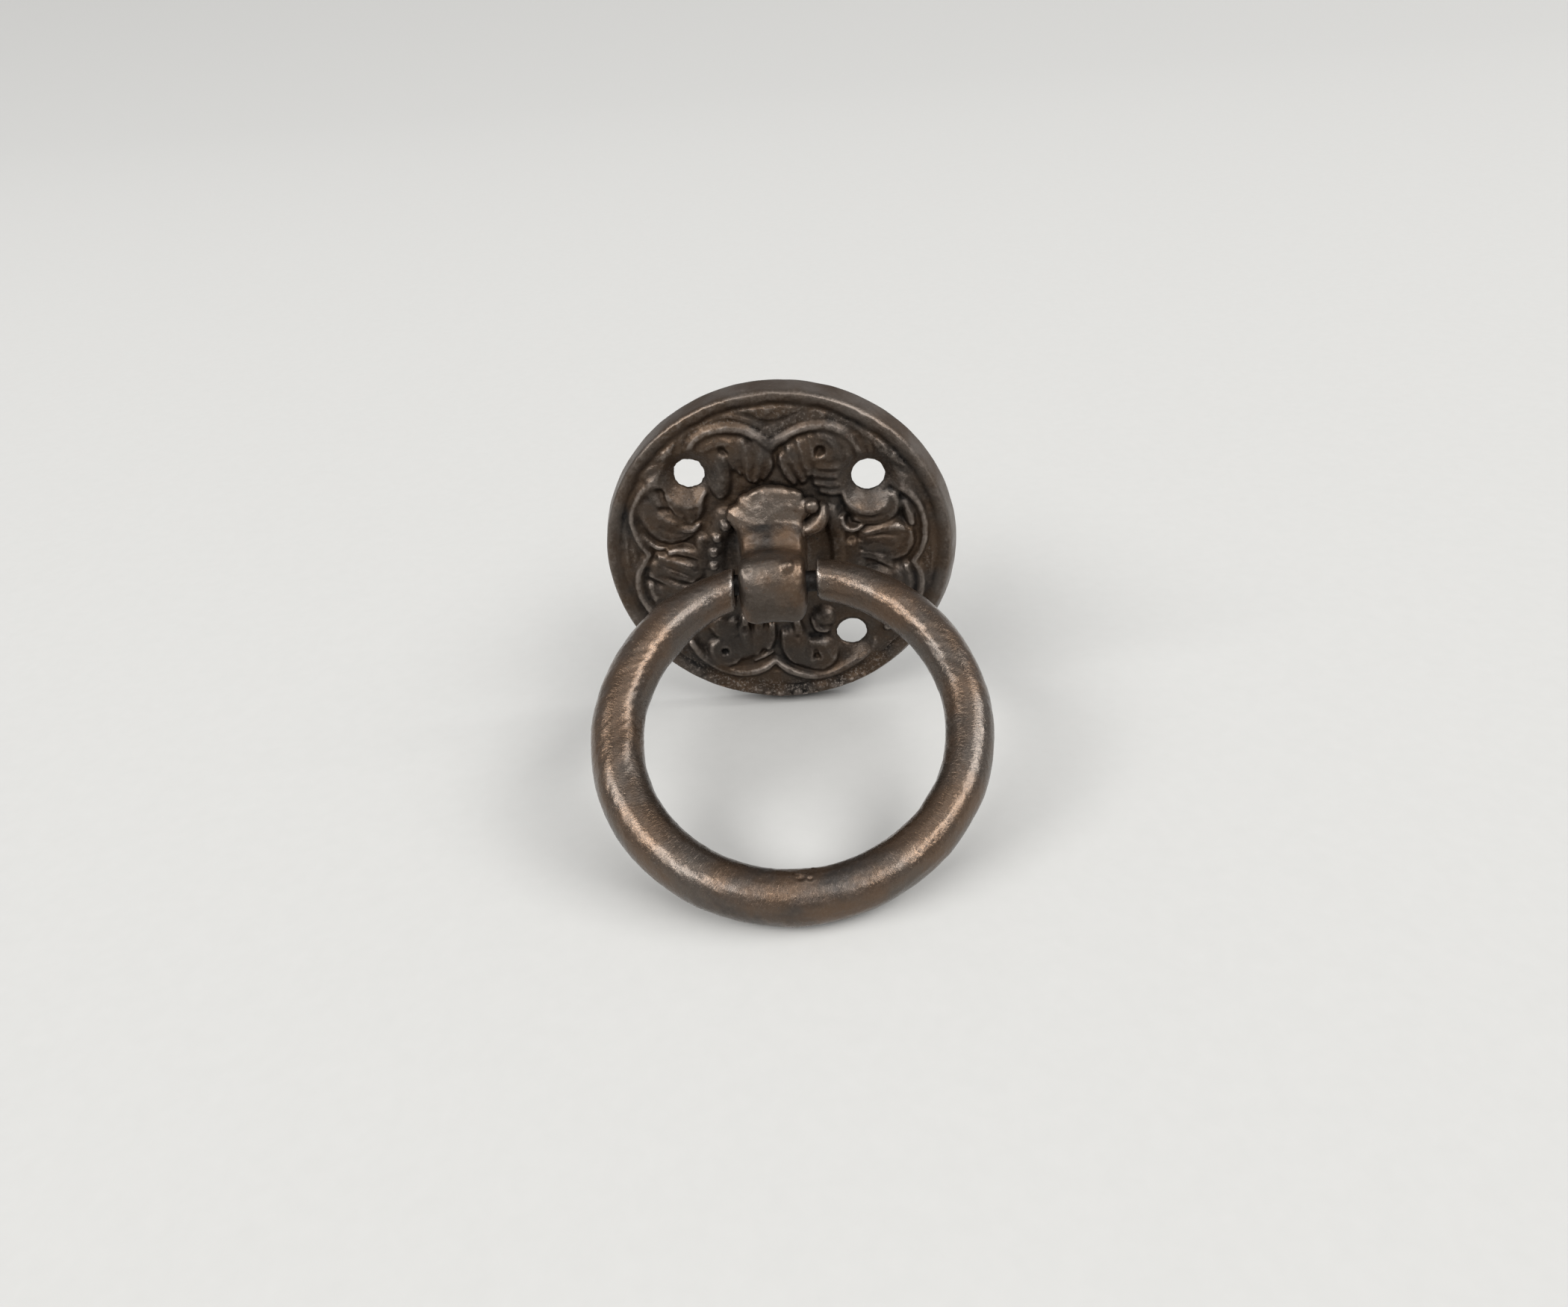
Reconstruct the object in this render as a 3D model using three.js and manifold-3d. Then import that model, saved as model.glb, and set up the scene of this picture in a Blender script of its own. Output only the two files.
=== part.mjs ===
// Ring-type door knocker: a cast rosette plate, a lug riveted through it, a hinge pin and a heavy ring.
// Millimetres, +Z up. The origin is the centre of the plate's back face. The door is the plane Y = 0, the
// knocker stands out along -Y, and the hinge pin lies along X.
// The model rests with the ring swung forward, so that the ring and the plate's edge touch one level.

import * as THREE from "three";
import { mergeVertices } from "three/addons/utils/BufferGeometryUtils.js";
import Module from "manifold-3d";

const wasm = await Module();
wasm.setup();

// ---- Driving dimensions -------------------------------------------------------------------------------

const GAP = 0.3; // between solids that touch, and round every pin

const plate = {
  radius: 35,
  rimRadius: 33.6,
  rimHeight: 4.9,
  rimWidth: 1.9,
  grooveWidth: 1.1,
  fieldHeight: 3.4,
  hollowHeight: 2.2, // the back is cast hollow, so the field is a thin web
  hollowInner: 11,
  hollowOuter: 31,
  bossRadius: 12.4,
  bossHeight: 4.4,
};

const ornament = {
  turn: THREE.MathUtils.degToRad(-4), // the casting sits a little clockwise of the hinge
  lobes: 8,
  cuspRadius: 25,
  crownRadius: 29.4,
  bandWidth: 2,
  bandHeight: 4.6,
  beadPitch: THREE.MathUtils.degToRad(13.3),
  firstBead: 11, // the row of beads runs down the flange's left side only
  lastBead: 17,
  beadRadius: 1.5,
  beadCircle: 13.6,
};

// The screw holes were drilled by hand: angle from +X in degrees, distance from the centre, radius.
const screwHoles = [
  { angle: 131.5, circle: 24.7, radius: 3.0 },
  { angle: 42, circle: 24, radius: 3.2 },
  { angle: -54.5, circle: 23, radius: 3.1 },
  { angle: -151, circle: 24.9, radius: 3.1 },
];
const throatHeight = 2.7; // each hole's countersink leaves a thin edge this far from the door
const countersink = 1.5; // its mouth's radius over the hole's

const pin = {
  radius: 2,
  halfLength: 10.8,
  out: 14.4, // from the door to the hinge axis
};

// The knocker was put together by hand: the lug stands a little left of the plate's centre, and the ring
// is bent a little to the right of the lug.
const lug = {
  offset: -0.85,
  halfWidth: 5.85,
  knuckleBottom: -7.4,
  knuckleFront: 6.2, // beyond the hinge axis
  lowerCorner: 3,
  frontCorner: 1.8,
  stemRadius: 3.6,
  headRadius: 5.2, // the stem is peened over in a countersink at the back
  headHeight: 1.4,
  flangeHalfWidth: 9.6,
  flangeTop: 15.2,
  flangeBottom: -12.2,
  flangeEdge: 0.9,
};

const ring = {
  offset: 1.4,
  radius: 31.3, // of the centreline
  tube: 4.7,
  endTube: 3.9, // the section thins towards the two ends
  taperLength: 17,
  halfGap: 7.8,
};

// ---- Worked out from them -----------------------------------------------------------------------------

const ringDrop = Math.sqrt(ring.radius ** 2 - ring.halfGap ** 2); // hinge axis to the ring's centre
const restSwing = Math.acos((plate.radius - ring.tube) / (ringDrop + ring.radius));

// ---- Solids -------------------------------------------------------------------------------------------

function solid(geometry) {
  const bare = geometry.index ? geometry.toNonIndexed() : geometry.clone();
  bare.deleteAttribute("normal");
  bare.deleteAttribute("uv");
  const merged = mergeVertices(bare, 1e-4);
  return new wasm.Manifold(
    new wasm.Mesh({
      numProp: 3,
      vertProperties: new Float32Array(merged.attributes.position.array),
      triVerts: new Uint32Array(merged.index.array),
    }),
  );
}

function namedMesh(name, manifold, material) {
  const { vertProperties, triVerts } = manifold.getMesh();
  const geometry = new THREE.BufferGeometry();
  geometry.setAttribute("position", new THREE.BufferAttribute(vertProperties, 3));
  geometry.setIndex(new THREE.BufferAttribute(triVerts, 1));
  geometry.computeVertexNormals();
  const mesh = new THREE.Mesh(geometry, material);
  mesh.name = name;
  return mesh;
}

// A turned solid on the Y axis. The profile is [radius, height above the door], from axis to axis.
function turned(profile, segments) {
  const points = profile.map(([r, height]) => new THREE.Vector2(r, height));
  return new THREE.LatheGeometry(points, segments).rotateX(Math.PI);
}

// A flat outline in the plane of the door, raised from one height above it to another.
function raised(shape, low, high) {
  const geometry = new THREE.ExtrudeGeometry(shape, {
    depth: high - low,
    bevelEnabled: false,
    curveSegments: 24,
  });
  return geometry.rotateX(Math.PI / 2).translate(0, -low, 0);
}

function closedShape(points) {
  return new THREE.Shape(points.map(([x, y]) => new THREE.Vector2(x, y)));
}

// A round rod along X.
function rodAlongX(radius, halfLength, segments = 24) {
  return new THREE.CylinderGeometry(radius, radius, 2 * halfLength, segments).rotateZ(Math.PI / 2);
}

// ---- Rosette plate ------------------------------------------------------------------------------------

function plateBlank() {
  const rimInner = plate.rimRadius - plate.rimWidth;
  const grooveInner = rimInner - plate.grooveWidth;
  return turned(
    [
      [0, 0],
      [plate.hollowInner - 1, 0],
      [plate.hollowInner, plate.hollowHeight],
      [plate.hollowOuter, plate.hollowHeight],
      [plate.hollowOuter + 0.8, 0],
      [plate.radius, 0],
      [plate.radius - 0.35, plate.rimHeight - 1.2],
      [plate.rimRadius, plate.rimHeight - 0.3],
      [plate.rimRadius - plate.rimWidth / 2, plate.rimHeight],
      [rimInner + 0.2, plate.rimHeight - 0.4],
      [rimInner, plate.fieldHeight + 0.3],
      [grooveInner, plate.fieldHeight],
      [plate.bossRadius + 1.4, plate.fieldHeight],
      [plate.bossRadius, plate.bossHeight],
      [0, plate.bossHeight],
    ],
    72,
  );
}

// The eight-lobed moulding: arcs that swell outwards between cusps.
function scallopOutline(inset) {
  const steps = 14 * ornament.lobes;
  const swell = ornament.crownRadius - ornament.cuspRadius;
  const points = [];
  for (let i = 0; i < steps; i++) {
    const angle = (2 * Math.PI * i) / steps;
    const lobe = Math.abs(Math.sin((ornament.lobes / 2) * angle));
    const radius = ornament.cuspRadius + swell * lobe ** 0.8 - inset;
    const bearing = angle + ornament.turn;
    points.push([radius * Math.cos(bearing), radius * Math.sin(bearing)]);
  }
  return points;
}

function scallopBand() {
  const shape = closedShape(scallopOutline(0));
  shape.holes.push(new THREE.Path(closedShape(scallopOutline(ornament.bandWidth)).getPoints()));
  return raised(shape, plate.fieldHeight - 0.5, ornament.bandHeight);
}

function bead(index) {
  const angle = index * ornament.beadPitch;
  const x = ornament.beadCircle * Math.cos(angle);
  const z = ornament.beadCircle * Math.sin(angle);
  return new THREE.SphereGeometry(ornament.beadRadius, 8, 6).translate(x, -plate.fieldHeight, z);
}

function screwHole({ angle, circle, radius }) {
  const turn = THREE.MathUtils.degToRad(angle);
  const bore = new THREE.CylinderGeometry(radius, radius, 4 * plate.rimHeight, 28);
  const sink = turned(
    [
      [0, throatHeight],
      [radius, throatHeight],
      [countersink * radius, plate.rimHeight],
      [0, plate.rimHeight],
    ],
    28,
  );
  return [bore, sink].map((shape) =>
    shape.translate(circle * Math.cos(turn), 0, circle * Math.sin(turn)),
  );
}

function rosettePlate() {
  let body = solid(plateBlank()).add(solid(scallopBand()));
  for (let i = ornament.firstBead; i <= ornament.lastBead; i++) {
    body = body.add(solid(bead(i)));
  }
  for (const hole of screwHoles) {
    for (const cutter of screwHole(hole)) {
      body = body.subtract(solid(cutter));
    }
  }
  const flangeSeat = solid(lugFlange(GAP)).translate(lug.offset, 0, 0);
  const stemHole = solid(lugStem(GAP)).translate(lug.offset, 0, 0);
  return body.subtract(stemHole).subtract(flangeSeat);
}

// ---- Ring lug -----------------------------------------------------------------------------------------

// The stem through the plate, with its peened head, grown by a clearance.
function lugStem(grow) {
  const waist = lug.headHeight + grow;
  return turned(
    [
      [0, grow > 0 ? -1 : 0],
      [lug.headRadius + grow, grow > 0 ? -1 : 0],
      [lug.headRadius + grow, grow],
      [lug.stemRadius + grow, waist],
      [lug.stemRadius + grow, plate.bossHeight + 1],
      [0, plate.bossHeight + 1],
    ],
    32,
  );
}

// The fan-shaped flange that covers the boss and part of the beads: a low dome on an oval outline.
function lugFlange(grow) {
  const midHeight = (lug.flangeTop + lug.flangeBottom) / 2;
  const halfHeight = (lug.flangeTop - lug.flangeBottom) / 2;
  const low = plate.bossHeight + GAP - grow;
  const dome = turned(
    [
      [0, low],
      [1, low],
      [1, low + lug.flangeEdge + grow],
      [0.8, low + 1.9 + grow],
      [0.5, low + 3 + grow],
      [0, low + 3.3 + grow],
    ],
    40,
  );
  return dome
    .scale(lug.flangeHalfWidth + grow, 1, halfHeight + grow)
    .translate(0, 0, midHeight);
}

// The neck and knuckle in side view: [height above the door, Z], from the flange's top edge over the
// saddle, round the knuckle and back along the underside.
function lugProfile() {
  const foot = plate.bossHeight + GAP + lug.flangeEdge;
  const outline = [
    [foot, 11],
    [foot + 2.4, 7.6],
    [pin.out - 2.8, 5.6],
    [pin.out + 1, 5.3],
    [pin.out + 4.4, 3.9],
    [pin.out + 6, 1.2],
    [pin.out + 6.1, -2.6],
    [pin.out + 4.7, -5.9],
    [pin.out + 1.4, -7.3],
    [pin.out - 2.2, -6.8],
    [foot + 3.2, -6],
    [foot, -9],
  ];
  const curve = new THREE.SplineCurve(outline.map(([height, z]) => new THREE.Vector2(height, z)));
  return new THREE.Shape(curve.getPoints(4 * (outline.length - 1)));
}

// A slab as wide as the knuckle, whose far corners are rounded: shape y runs from low to high.
function roundedSlab(low, high, cornerRadius) {
  const half = lug.halfWidth;
  const shape = new THREE.Shape();
  shape.moveTo(-half, high);
  shape.lineTo(-half, low + cornerRadius);
  shape.absarc(-half + cornerRadius, low + cornerRadius, cornerRadius, Math.PI, 1.5 * Math.PI);
  shape.absarc(half - cornerRadius, low + cornerRadius, cornerRadius, 1.5 * Math.PI, 2 * Math.PI);
  shape.lineTo(half, high);
  shape.closePath();
  return shape;
}

function extruded(shape, depth) {
  return new THREE.ExtrudeGeometry(shape, { depth, bevelEnabled: false, curveSegments: 6 });
}

// The side view, trimmed by the front view's rounded lower corners and the plan's rounded front corners.
function lugKnuckle() {
  const sideView = extruded(lugProfile(), 2 * lug.halfWidth)
    .translate(0, 0, -lug.halfWidth)
    .applyMatrix4(
      new THREE.Matrix4().makeBasis(
        new THREE.Vector3(0, -1, 0),
        new THREE.Vector3(0, 0, 1),
        new THREE.Vector3(-1, 0, 0),
      ),
    );
  const reach = 2 * plate.radius;
  const frontView = extruded(roundedSlab(lug.knuckleBottom, reach, lug.lowerCorner), reach).rotateX(
    Math.PI / 2,
  );
  const plan = extruded(roundedSlab(-(pin.out + lug.knuckleFront), reach, lug.frontCorner), reach).translate(
    0,
    0,
    -reach / 2,
  );
  return solid(sideView).intersect(solid(frontView)).intersect(solid(plan));
}

function ringLug() {
  const bore = rodAlongX(pin.radius + GAP, 2 * lug.halfWidth).translate(0, -pin.out, 0);
  return lugKnuckle()
    .add(solid(lugFlange(0)))
    .add(solid(lugStem(0)))
    .subtract(solid(bore))
    .translate(lug.offset, 0, 0);
}

// ---- Pull ring and its pin, round the hinge axis, hanging down ----------------------------------------

class RingPath extends THREE.Curve {
  getPoint(t) {
    const half = Math.PI - 0.5 * Math.asin(ring.halfGap / ring.radius); // past both ends, cut square later
    const angle = -Math.PI / 2 + (2 * t - 1) * half;
    return new THREE.Vector3(ring.radius * Math.cos(angle), 0, ring.radius * Math.sin(angle));
  }
}

// The tube's radius at a distance along the centreline from the nearer end.
function tubeRadius(fromEnd) {
  const part = THREE.MathUtils.smoothstep(fromEnd, 0, ring.taperLength);
  return ring.endTube + (ring.tube - ring.endTube) * part;
}

function sweptRing() {
  const section = new THREE.Shape().absarc(0, 0, 1, 0, 2 * Math.PI, false);
  const geometry = new THREE.ExtrudeGeometry(section, {
    steps: 64,
    curveSegments: 8,
    extrudePath: new RingPath(),
  });
  const position = geometry.attributes.position;
  const point = new THREE.Vector3();
  for (let i = 0; i < position.count; i++) {
    point.fromBufferAttribute(position, i);
    const angle = Math.atan2(point.x, point.z); // 0 at the gap
    const centre = new THREE.Vector3(Math.sin(angle), 0, Math.cos(angle)).multiplyScalar(ring.radius);
    const fromEnd = ring.radius * Math.abs(angle) - ring.halfGap;
    point.sub(centre).multiplyScalar(tubeRadius(Math.max(0, fromEnd))).add(centre);
    position.setXYZ(i, point.x, point.y, point.z);
  }
  return geometry.translate(ring.offset, 0, -ringDrop);
}

function pullRing() {
  const gap = solid(new THREE.BoxGeometry(2 * ring.halfGap, 4 * ring.tube, 4 * ring.tube));
  const sockets = solid(rodAlongX(pin.radius + GAP, pin.halfLength + GAP));
  return solid(sweptRing()).subtract(gap.add(sockets).translate(lug.offset, 0, 0));
}

function pivotPin() {
  const chamfer = 0.4;
  const profile = [
    [0, -pin.halfLength],
    [pin.radius - chamfer, -pin.halfLength],
    [pin.radius, -pin.halfLength + chamfer],
    [pin.radius, pin.halfLength - chamfer],
    [pin.radius - chamfer, pin.halfLength],
    [0, pin.halfLength],
  ];
  return solid(turned(profile, 24).rotateZ(Math.PI / 2)).translate(lug.offset, 0, 0);
}

// ---- Assembly -----------------------------------------------------------------------------------------

const bronzedIron = (shade) =>
  new THREE.MeshStandardMaterial({ color: shade, roughness: 0.45, metalness: 0.8 });

const knocker = new THREE.Group();
knocker.add(namedMesh("rosette_plate", rosettePlate(), bronzedIron(0x3a332e)));
knocker.add(namedMesh("ring_lug", ringLug(), bronzedIron(0x4a4038)));

const swing = new THREE.Group();
swing.position.set(0, -pin.out, 0);
swing.rotation.x = -restSwing;
swing.add(namedMesh("pull_ring", pullRing(), bronzedIron(0x4a4038)));
swing.add(namedMesh("pivot_pin", pivotPin(), bronzedIron(0x2e2b29)));
knocker.add(swing);

export default knocker;
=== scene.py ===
# Ring-type door knocker: cast rosette plate, ring lug, pull ring and hinge pin, in detail, over the CAD part.
# Lengths are in millimetres until a mesh is made. "Height" is the distance out from the door, along -Y.

import math

import bmesh
import bpy
import numpy as np
from mathutils import Matrix, Vector
from mathutils.geometry import delaunay_2d_cdt


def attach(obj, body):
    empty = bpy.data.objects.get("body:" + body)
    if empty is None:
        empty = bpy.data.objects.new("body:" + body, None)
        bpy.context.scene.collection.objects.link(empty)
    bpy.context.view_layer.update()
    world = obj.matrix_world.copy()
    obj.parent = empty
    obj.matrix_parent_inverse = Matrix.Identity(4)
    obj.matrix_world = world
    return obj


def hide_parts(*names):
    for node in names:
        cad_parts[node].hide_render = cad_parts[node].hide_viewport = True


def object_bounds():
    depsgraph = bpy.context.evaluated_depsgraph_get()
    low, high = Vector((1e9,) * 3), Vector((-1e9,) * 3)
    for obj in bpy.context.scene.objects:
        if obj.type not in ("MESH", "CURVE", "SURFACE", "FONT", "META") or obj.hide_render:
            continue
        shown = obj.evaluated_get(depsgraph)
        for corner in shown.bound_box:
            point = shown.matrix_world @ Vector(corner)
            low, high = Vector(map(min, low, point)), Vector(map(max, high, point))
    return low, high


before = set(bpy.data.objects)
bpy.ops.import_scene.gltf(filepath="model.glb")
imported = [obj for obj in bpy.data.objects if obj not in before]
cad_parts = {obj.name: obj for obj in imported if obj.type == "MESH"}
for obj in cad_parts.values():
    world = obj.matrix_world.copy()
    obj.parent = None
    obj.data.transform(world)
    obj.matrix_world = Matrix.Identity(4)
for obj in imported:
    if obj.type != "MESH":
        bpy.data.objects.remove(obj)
cad_box = [[float(v) for v in corner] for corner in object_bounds()]

MM = 0.001

# ---- Sizes shared with the CAD part ----------------------------------------------------------------------

PLATE_RADIUS = 35.0
HOLLOW_HEIGHT = 2.2
HOLLOW_INNER = 11.0
HOLLOW_OUTER = 31.0
BOSS_HEIGHT = 4.4
ORNAMENT_TURN = math.radians(-4)
# bearing in degrees, distance from the middle, radius
SCREW_HOLES = [(131.5, 24.7, 3.0), (42.0, 24.0, 3.2), (-54.5, 23.0, 3.1), (-151.0, 24.9, 3.1)]
THROAT_HEIGHT = 2.7
PIN_RADIUS = 2.0
PIN_HALF = 10.8
PIN_OUT = 14.4
GAP = 0.3
LUG_X = -0.85
LUG_HALF = 5.85
STEM_RADIUS = 3.6
HEAD_RADIUS = 5.2
HEAD_HEIGHT = 1.4
RING_X = 1.4
RING_RADIUS = 31.3
RING_TUBE = 4.7
RING_END_TUBE = 3.9
RING_TAPER = 17.0
RING_HALF_GAP = 7.8
RING_DROP = math.sqrt(RING_RADIUS**2 - RING_HALF_GAP**2)
REST_SWING = math.acos((PLATE_RADIUS - RING_TUBE) / (RING_DROP + RING_RADIUS))


# ---- Smooth noise on points ------------------------------------------------------------------------------

# Large primes that scatter whole-number lattice points evenly.
PRIME_X, PRIME_Y, PRIME_Z, PRIME_SEED = 73856093, 19349663, 83492791, 2654435761
PRIME_MIX = 1274126177


def lattice(ix, iy, iz, seed):
    """A repeatable random number from -1 to 1 at each whole-number lattice point."""
    mixed = (ix * PRIME_X) ^ (iy * PRIME_Y) ^ (iz * PRIME_Z) ^ (seed * PRIME_SEED)
    mixed = (mixed ^ (mixed >> 13)) * PRIME_MIX
    mixed = mixed ^ (mixed >> 16)
    return (mixed & 0xFFFF) / 32767.5 - 1.0


def noise(points, size, seed):
    """Smooth noise from about -1 to 1 with lumps of the given size."""
    scaled = points / size
    whole = np.floor(scaled).astype(np.int64)
    part = scaled - whole
    part = part * part * (3 - 2 * part)
    total = np.zeros(len(points))
    for dx in (0, 1):
        for dy in (0, 1):
            for dz in (0, 1):
                corner = lattice(whole[:, 0] + dx, whole[:, 1] + dy, whole[:, 2] + dz, seed)
                weight = np.where(dx, part[:, 0], 1 - part[:, 0])
                weight = weight * np.where(dy, part[:, 1], 1 - part[:, 1])
                total += corner * weight * np.where(dz, part[:, 2], 1 - part[:, 2])
    return total


def rough(points, size, octaves, seed):
    """Several sizes of noise on top of each other."""
    total = np.zeros(len(points))
    for k in range(octaves):
        total += noise(points, size / 2**k, seed + 17 * k) / 2**k
    return total


def smooth_step(low, high, value):
    """0 up to low, 1 from high on, with a smooth change between; low may be the larger."""
    part = np.clip((value - low) / (high - low), 0, 1)
    return part * part * (3 - 2 * part)


# ---- Curves and outlines ---------------------------------------------------------------------------------

FAR = 99.0


def spline(points, steps, closed=False):
    """Catmull-Rom curve through rows of numbers."""
    rows = np.array(points, float)
    if closed:
        rows = np.vstack([rows[-1], rows, rows[:2]])
    else:
        rows = np.vstack([2 * rows[0] - rows[1], rows, 2 * rows[-1] - rows[-2]])
    t = np.linspace(0, 1, steps, endpoint=False)[:, None]
    pieces = []
    for a, b, c, d in zip(rows[:-3], rows[1:-2], rows[2:-1], rows[3:]):
        bend = 2 * a - 5 * b + 4 * c - d
        twist = 3 * b - a - 3 * c + d
        pieces.append(0.5 * (2 * b + (c - a) * t + bend * t**2 + twist * t**3))
    if not closed:
        pieces.append(rows[-2][None])
    return np.vstack(pieces)


def share_along(x, z, start, end):
    """Each point's nearest place on a straight edge, from 0 to 1, and the square of its distance from it."""
    ex, ez = end[0] - start[0], end[1] - start[1]
    t = np.clip(((x - start[0]) * ex + (z - start[1]) * ez) / (ex * ex + ez * ez + 1e-12), 0, 1)
    return t, (x - start[0] - t * ex) ** 2 + (z - start[1] - t * ez) ** 2


def inside_outline(x, z, outline):
    """Which points lie inside a closed outline."""
    inside = np.zeros(x.shape, bool)
    for (ax, az), (bx, bz) in zip(outline, np.roll(outline, -1, axis=0)):
        if az != bz:
            inside ^= ((az > z) != (bz > z)) & (x < (bx - ax) * (z - az) / (bz - az) + ax)
    return inside


def to_outline(x, z, outline):
    """Distance to a closed outline, negative inside."""
    best = np.full(x.shape, np.inf)
    for start, end in zip(outline, np.roll(outline, -1, axis=0)):
        best = np.minimum(best, share_along(x, z, start, end)[1])
    return np.where(inside_outline(x, z, outline), -1, 1) * np.sqrt(best)


def ornament_axes(x, z):
    """Points in the ornament's own axes: it is cast a few degrees askew on its plate."""
    c, s = math.cos(ORNAMENT_TURN), math.sin(ORNAMENT_TURN)
    return x * c + z * s, z * c - x * s


# ---- A mesh as it grows ----------------------------------------------------------------------------------


class Shell:
    """Points, and faces by point number."""

    def __init__(self):
        self.rows = []
        self.faces = []
        self.total = 0

    def add(self, points):
        """Adds rows of points and gives back their numbers."""
        self.rows.append(points)
        self.total += len(points)
        return np.arange(self.total - len(points), self.total)

    def join(self, first, second):
        """Quads between two closed loops of point numbers."""
        first, second = list(first), list(second)
        corners = zip(first, first[1:] + first[:1], second[1:] + second[:1], second)
        self.faces.extend(corners)

    def close(self, loop, tip):
        """Triangles from a closed loop of point numbers to one more point."""
        number = self.add(np.array([tip]))[0]
        self.faces.extend((a, b, number) for a, b in zip(loop, np.roll(loop, -1)))

    def points(self):
        """All points as one array; changing it changes the mesh."""
        self.rows = [np.vstack(self.rows)]
        return self.rows[0]


def ring_of_points(radius, height, angle, centre_x=0.0):
    """Points of a circle, or of a near circle, at a height above the door."""
    return np.stack([centre_x + radius * np.cos(angle), -height + 0 * angle, radius * np.sin(angle)], -1)


# ---- Rosette plate ---------------------------------------------------------------------------------------

# Strokes are rows of (x, z, half width, crest height), in the ornament's own turned axes.
MOULDING = [
    [(-17.6, 21.4, 1, 4.4), (-16.8, 23.4, 1.05, 4.5), (-15.3, 25.1, 1.05, 4.6), (-13.1, 26.3, 1.1, 4.7),
     (-10.3, 26.9, 1.1, 4.7), (-7.5, 26.6, 1.15, 4.7), (-5, 25.5, 1.2, 4.7), (-3, 24, 1.3, 4.5),
     (-2, 22.4, 0.7, 4)],
    [(-2, 22.4, 0.7, 4), (-1, 24.2, 1.2, 4.4), (0.8, 25.3, 1.2, 4.6), (2.8, 26.4, 1.1, 4.7),
     (5.2, 27.2, 1.1, 4.7), (8, 27.4, 1.1, 4.7), (10.2, 26.9, 1.1, 4.7), (12.2, 25.6, 1.05, 4.6),
     (13.7, 23.8, 1, 4.5), (15, 21.6, 0.9, 4.3)],
    [(-21.3, 18, 0.6, 4.8), (-22.7, 16.7, 1.6, 4.9), (-24.8, 15.6, 1.35, 4.8), (-27, 13.6, 1, 4.7),
     (-28.6, 10.6, 0.85, 4.6), (-29.1, 7.8, 0.8, 4.6), (-28.5, 5.1, 0.8, 4.5), (-27.4, 2.6, 0.9, 4.5),
     (-26.2, 0.6, 0.9, 4.4)],
    [(-26.2, 0.6, 0.9, 4.4), (-27.2, -1.2, 0.95, 4.5), (-28.4, -3.4, 0.95, 4.6), (-28.8, -6, 0.95, 4.6),
     (-28.3, -8.8, 0.95, 4.6), (-27, -11.6, 0.95, 4.6), (-25.2, -13.8, 0.95, 4.6), (-23, -15.6, 0.9, 4.5)],
    [(21.4, 17.2, 0.5, 4.9), (22.6, 15.9, 1.5, 4.9), (24.6, 14.3, 1.1, 4.8), (26.4, 12, 0.9, 4.7),
     (27.6, 9.2, 0.85, 4.6), (28.1, 6.5, 0.85, 4.6), (28, 4, 0.85, 4.6), (27.3, 1.6, 0.9, 4.5),
     (26.3, -0.6, 0.9, 4.4)],
    [(26.3, -0.6, 0.9, 4.4), (27.6, -2.6, 0.95, 4.5), (28.2, -5.4, 0.95, 4.6), (27.9, -8.4, 0.95, 4.6),
     (26.7, -11.2, 0.95, 4.6), (24.6, -13.8, 0.95, 4.6), (21.8, -15.8, 0.9, 4.5)],
    [(-1.2, -24.4, 0.7, 4), (0.4, -25.8, 1, 4.4), (2.8, -27.1, 1, 4.5), (6, -27.9, 1, 4.6),
     (9, -27.7, 1, 4.6), (12, -26.5, 1, 4.6), (14.8, -24.7, 1, 4.5), (17.4, -22.2, 1, 4.5),
     (18.9, -19.6, 0.9, 4.5)],
    [(-1.2, -24.4, 0.7, 4), (-3, -25.9, 1, 4.4), (-5.6, -27, 1, 4.5), (-8.6, -27.3, 1, 4.6),
     (-11.6, -26.6, 1, 4.6), (-14.4, -25, 1, 4.6), (-17, -22.6, 1, 4.5), (-18.6, -20, 0.9, 4.5)],
]
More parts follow.
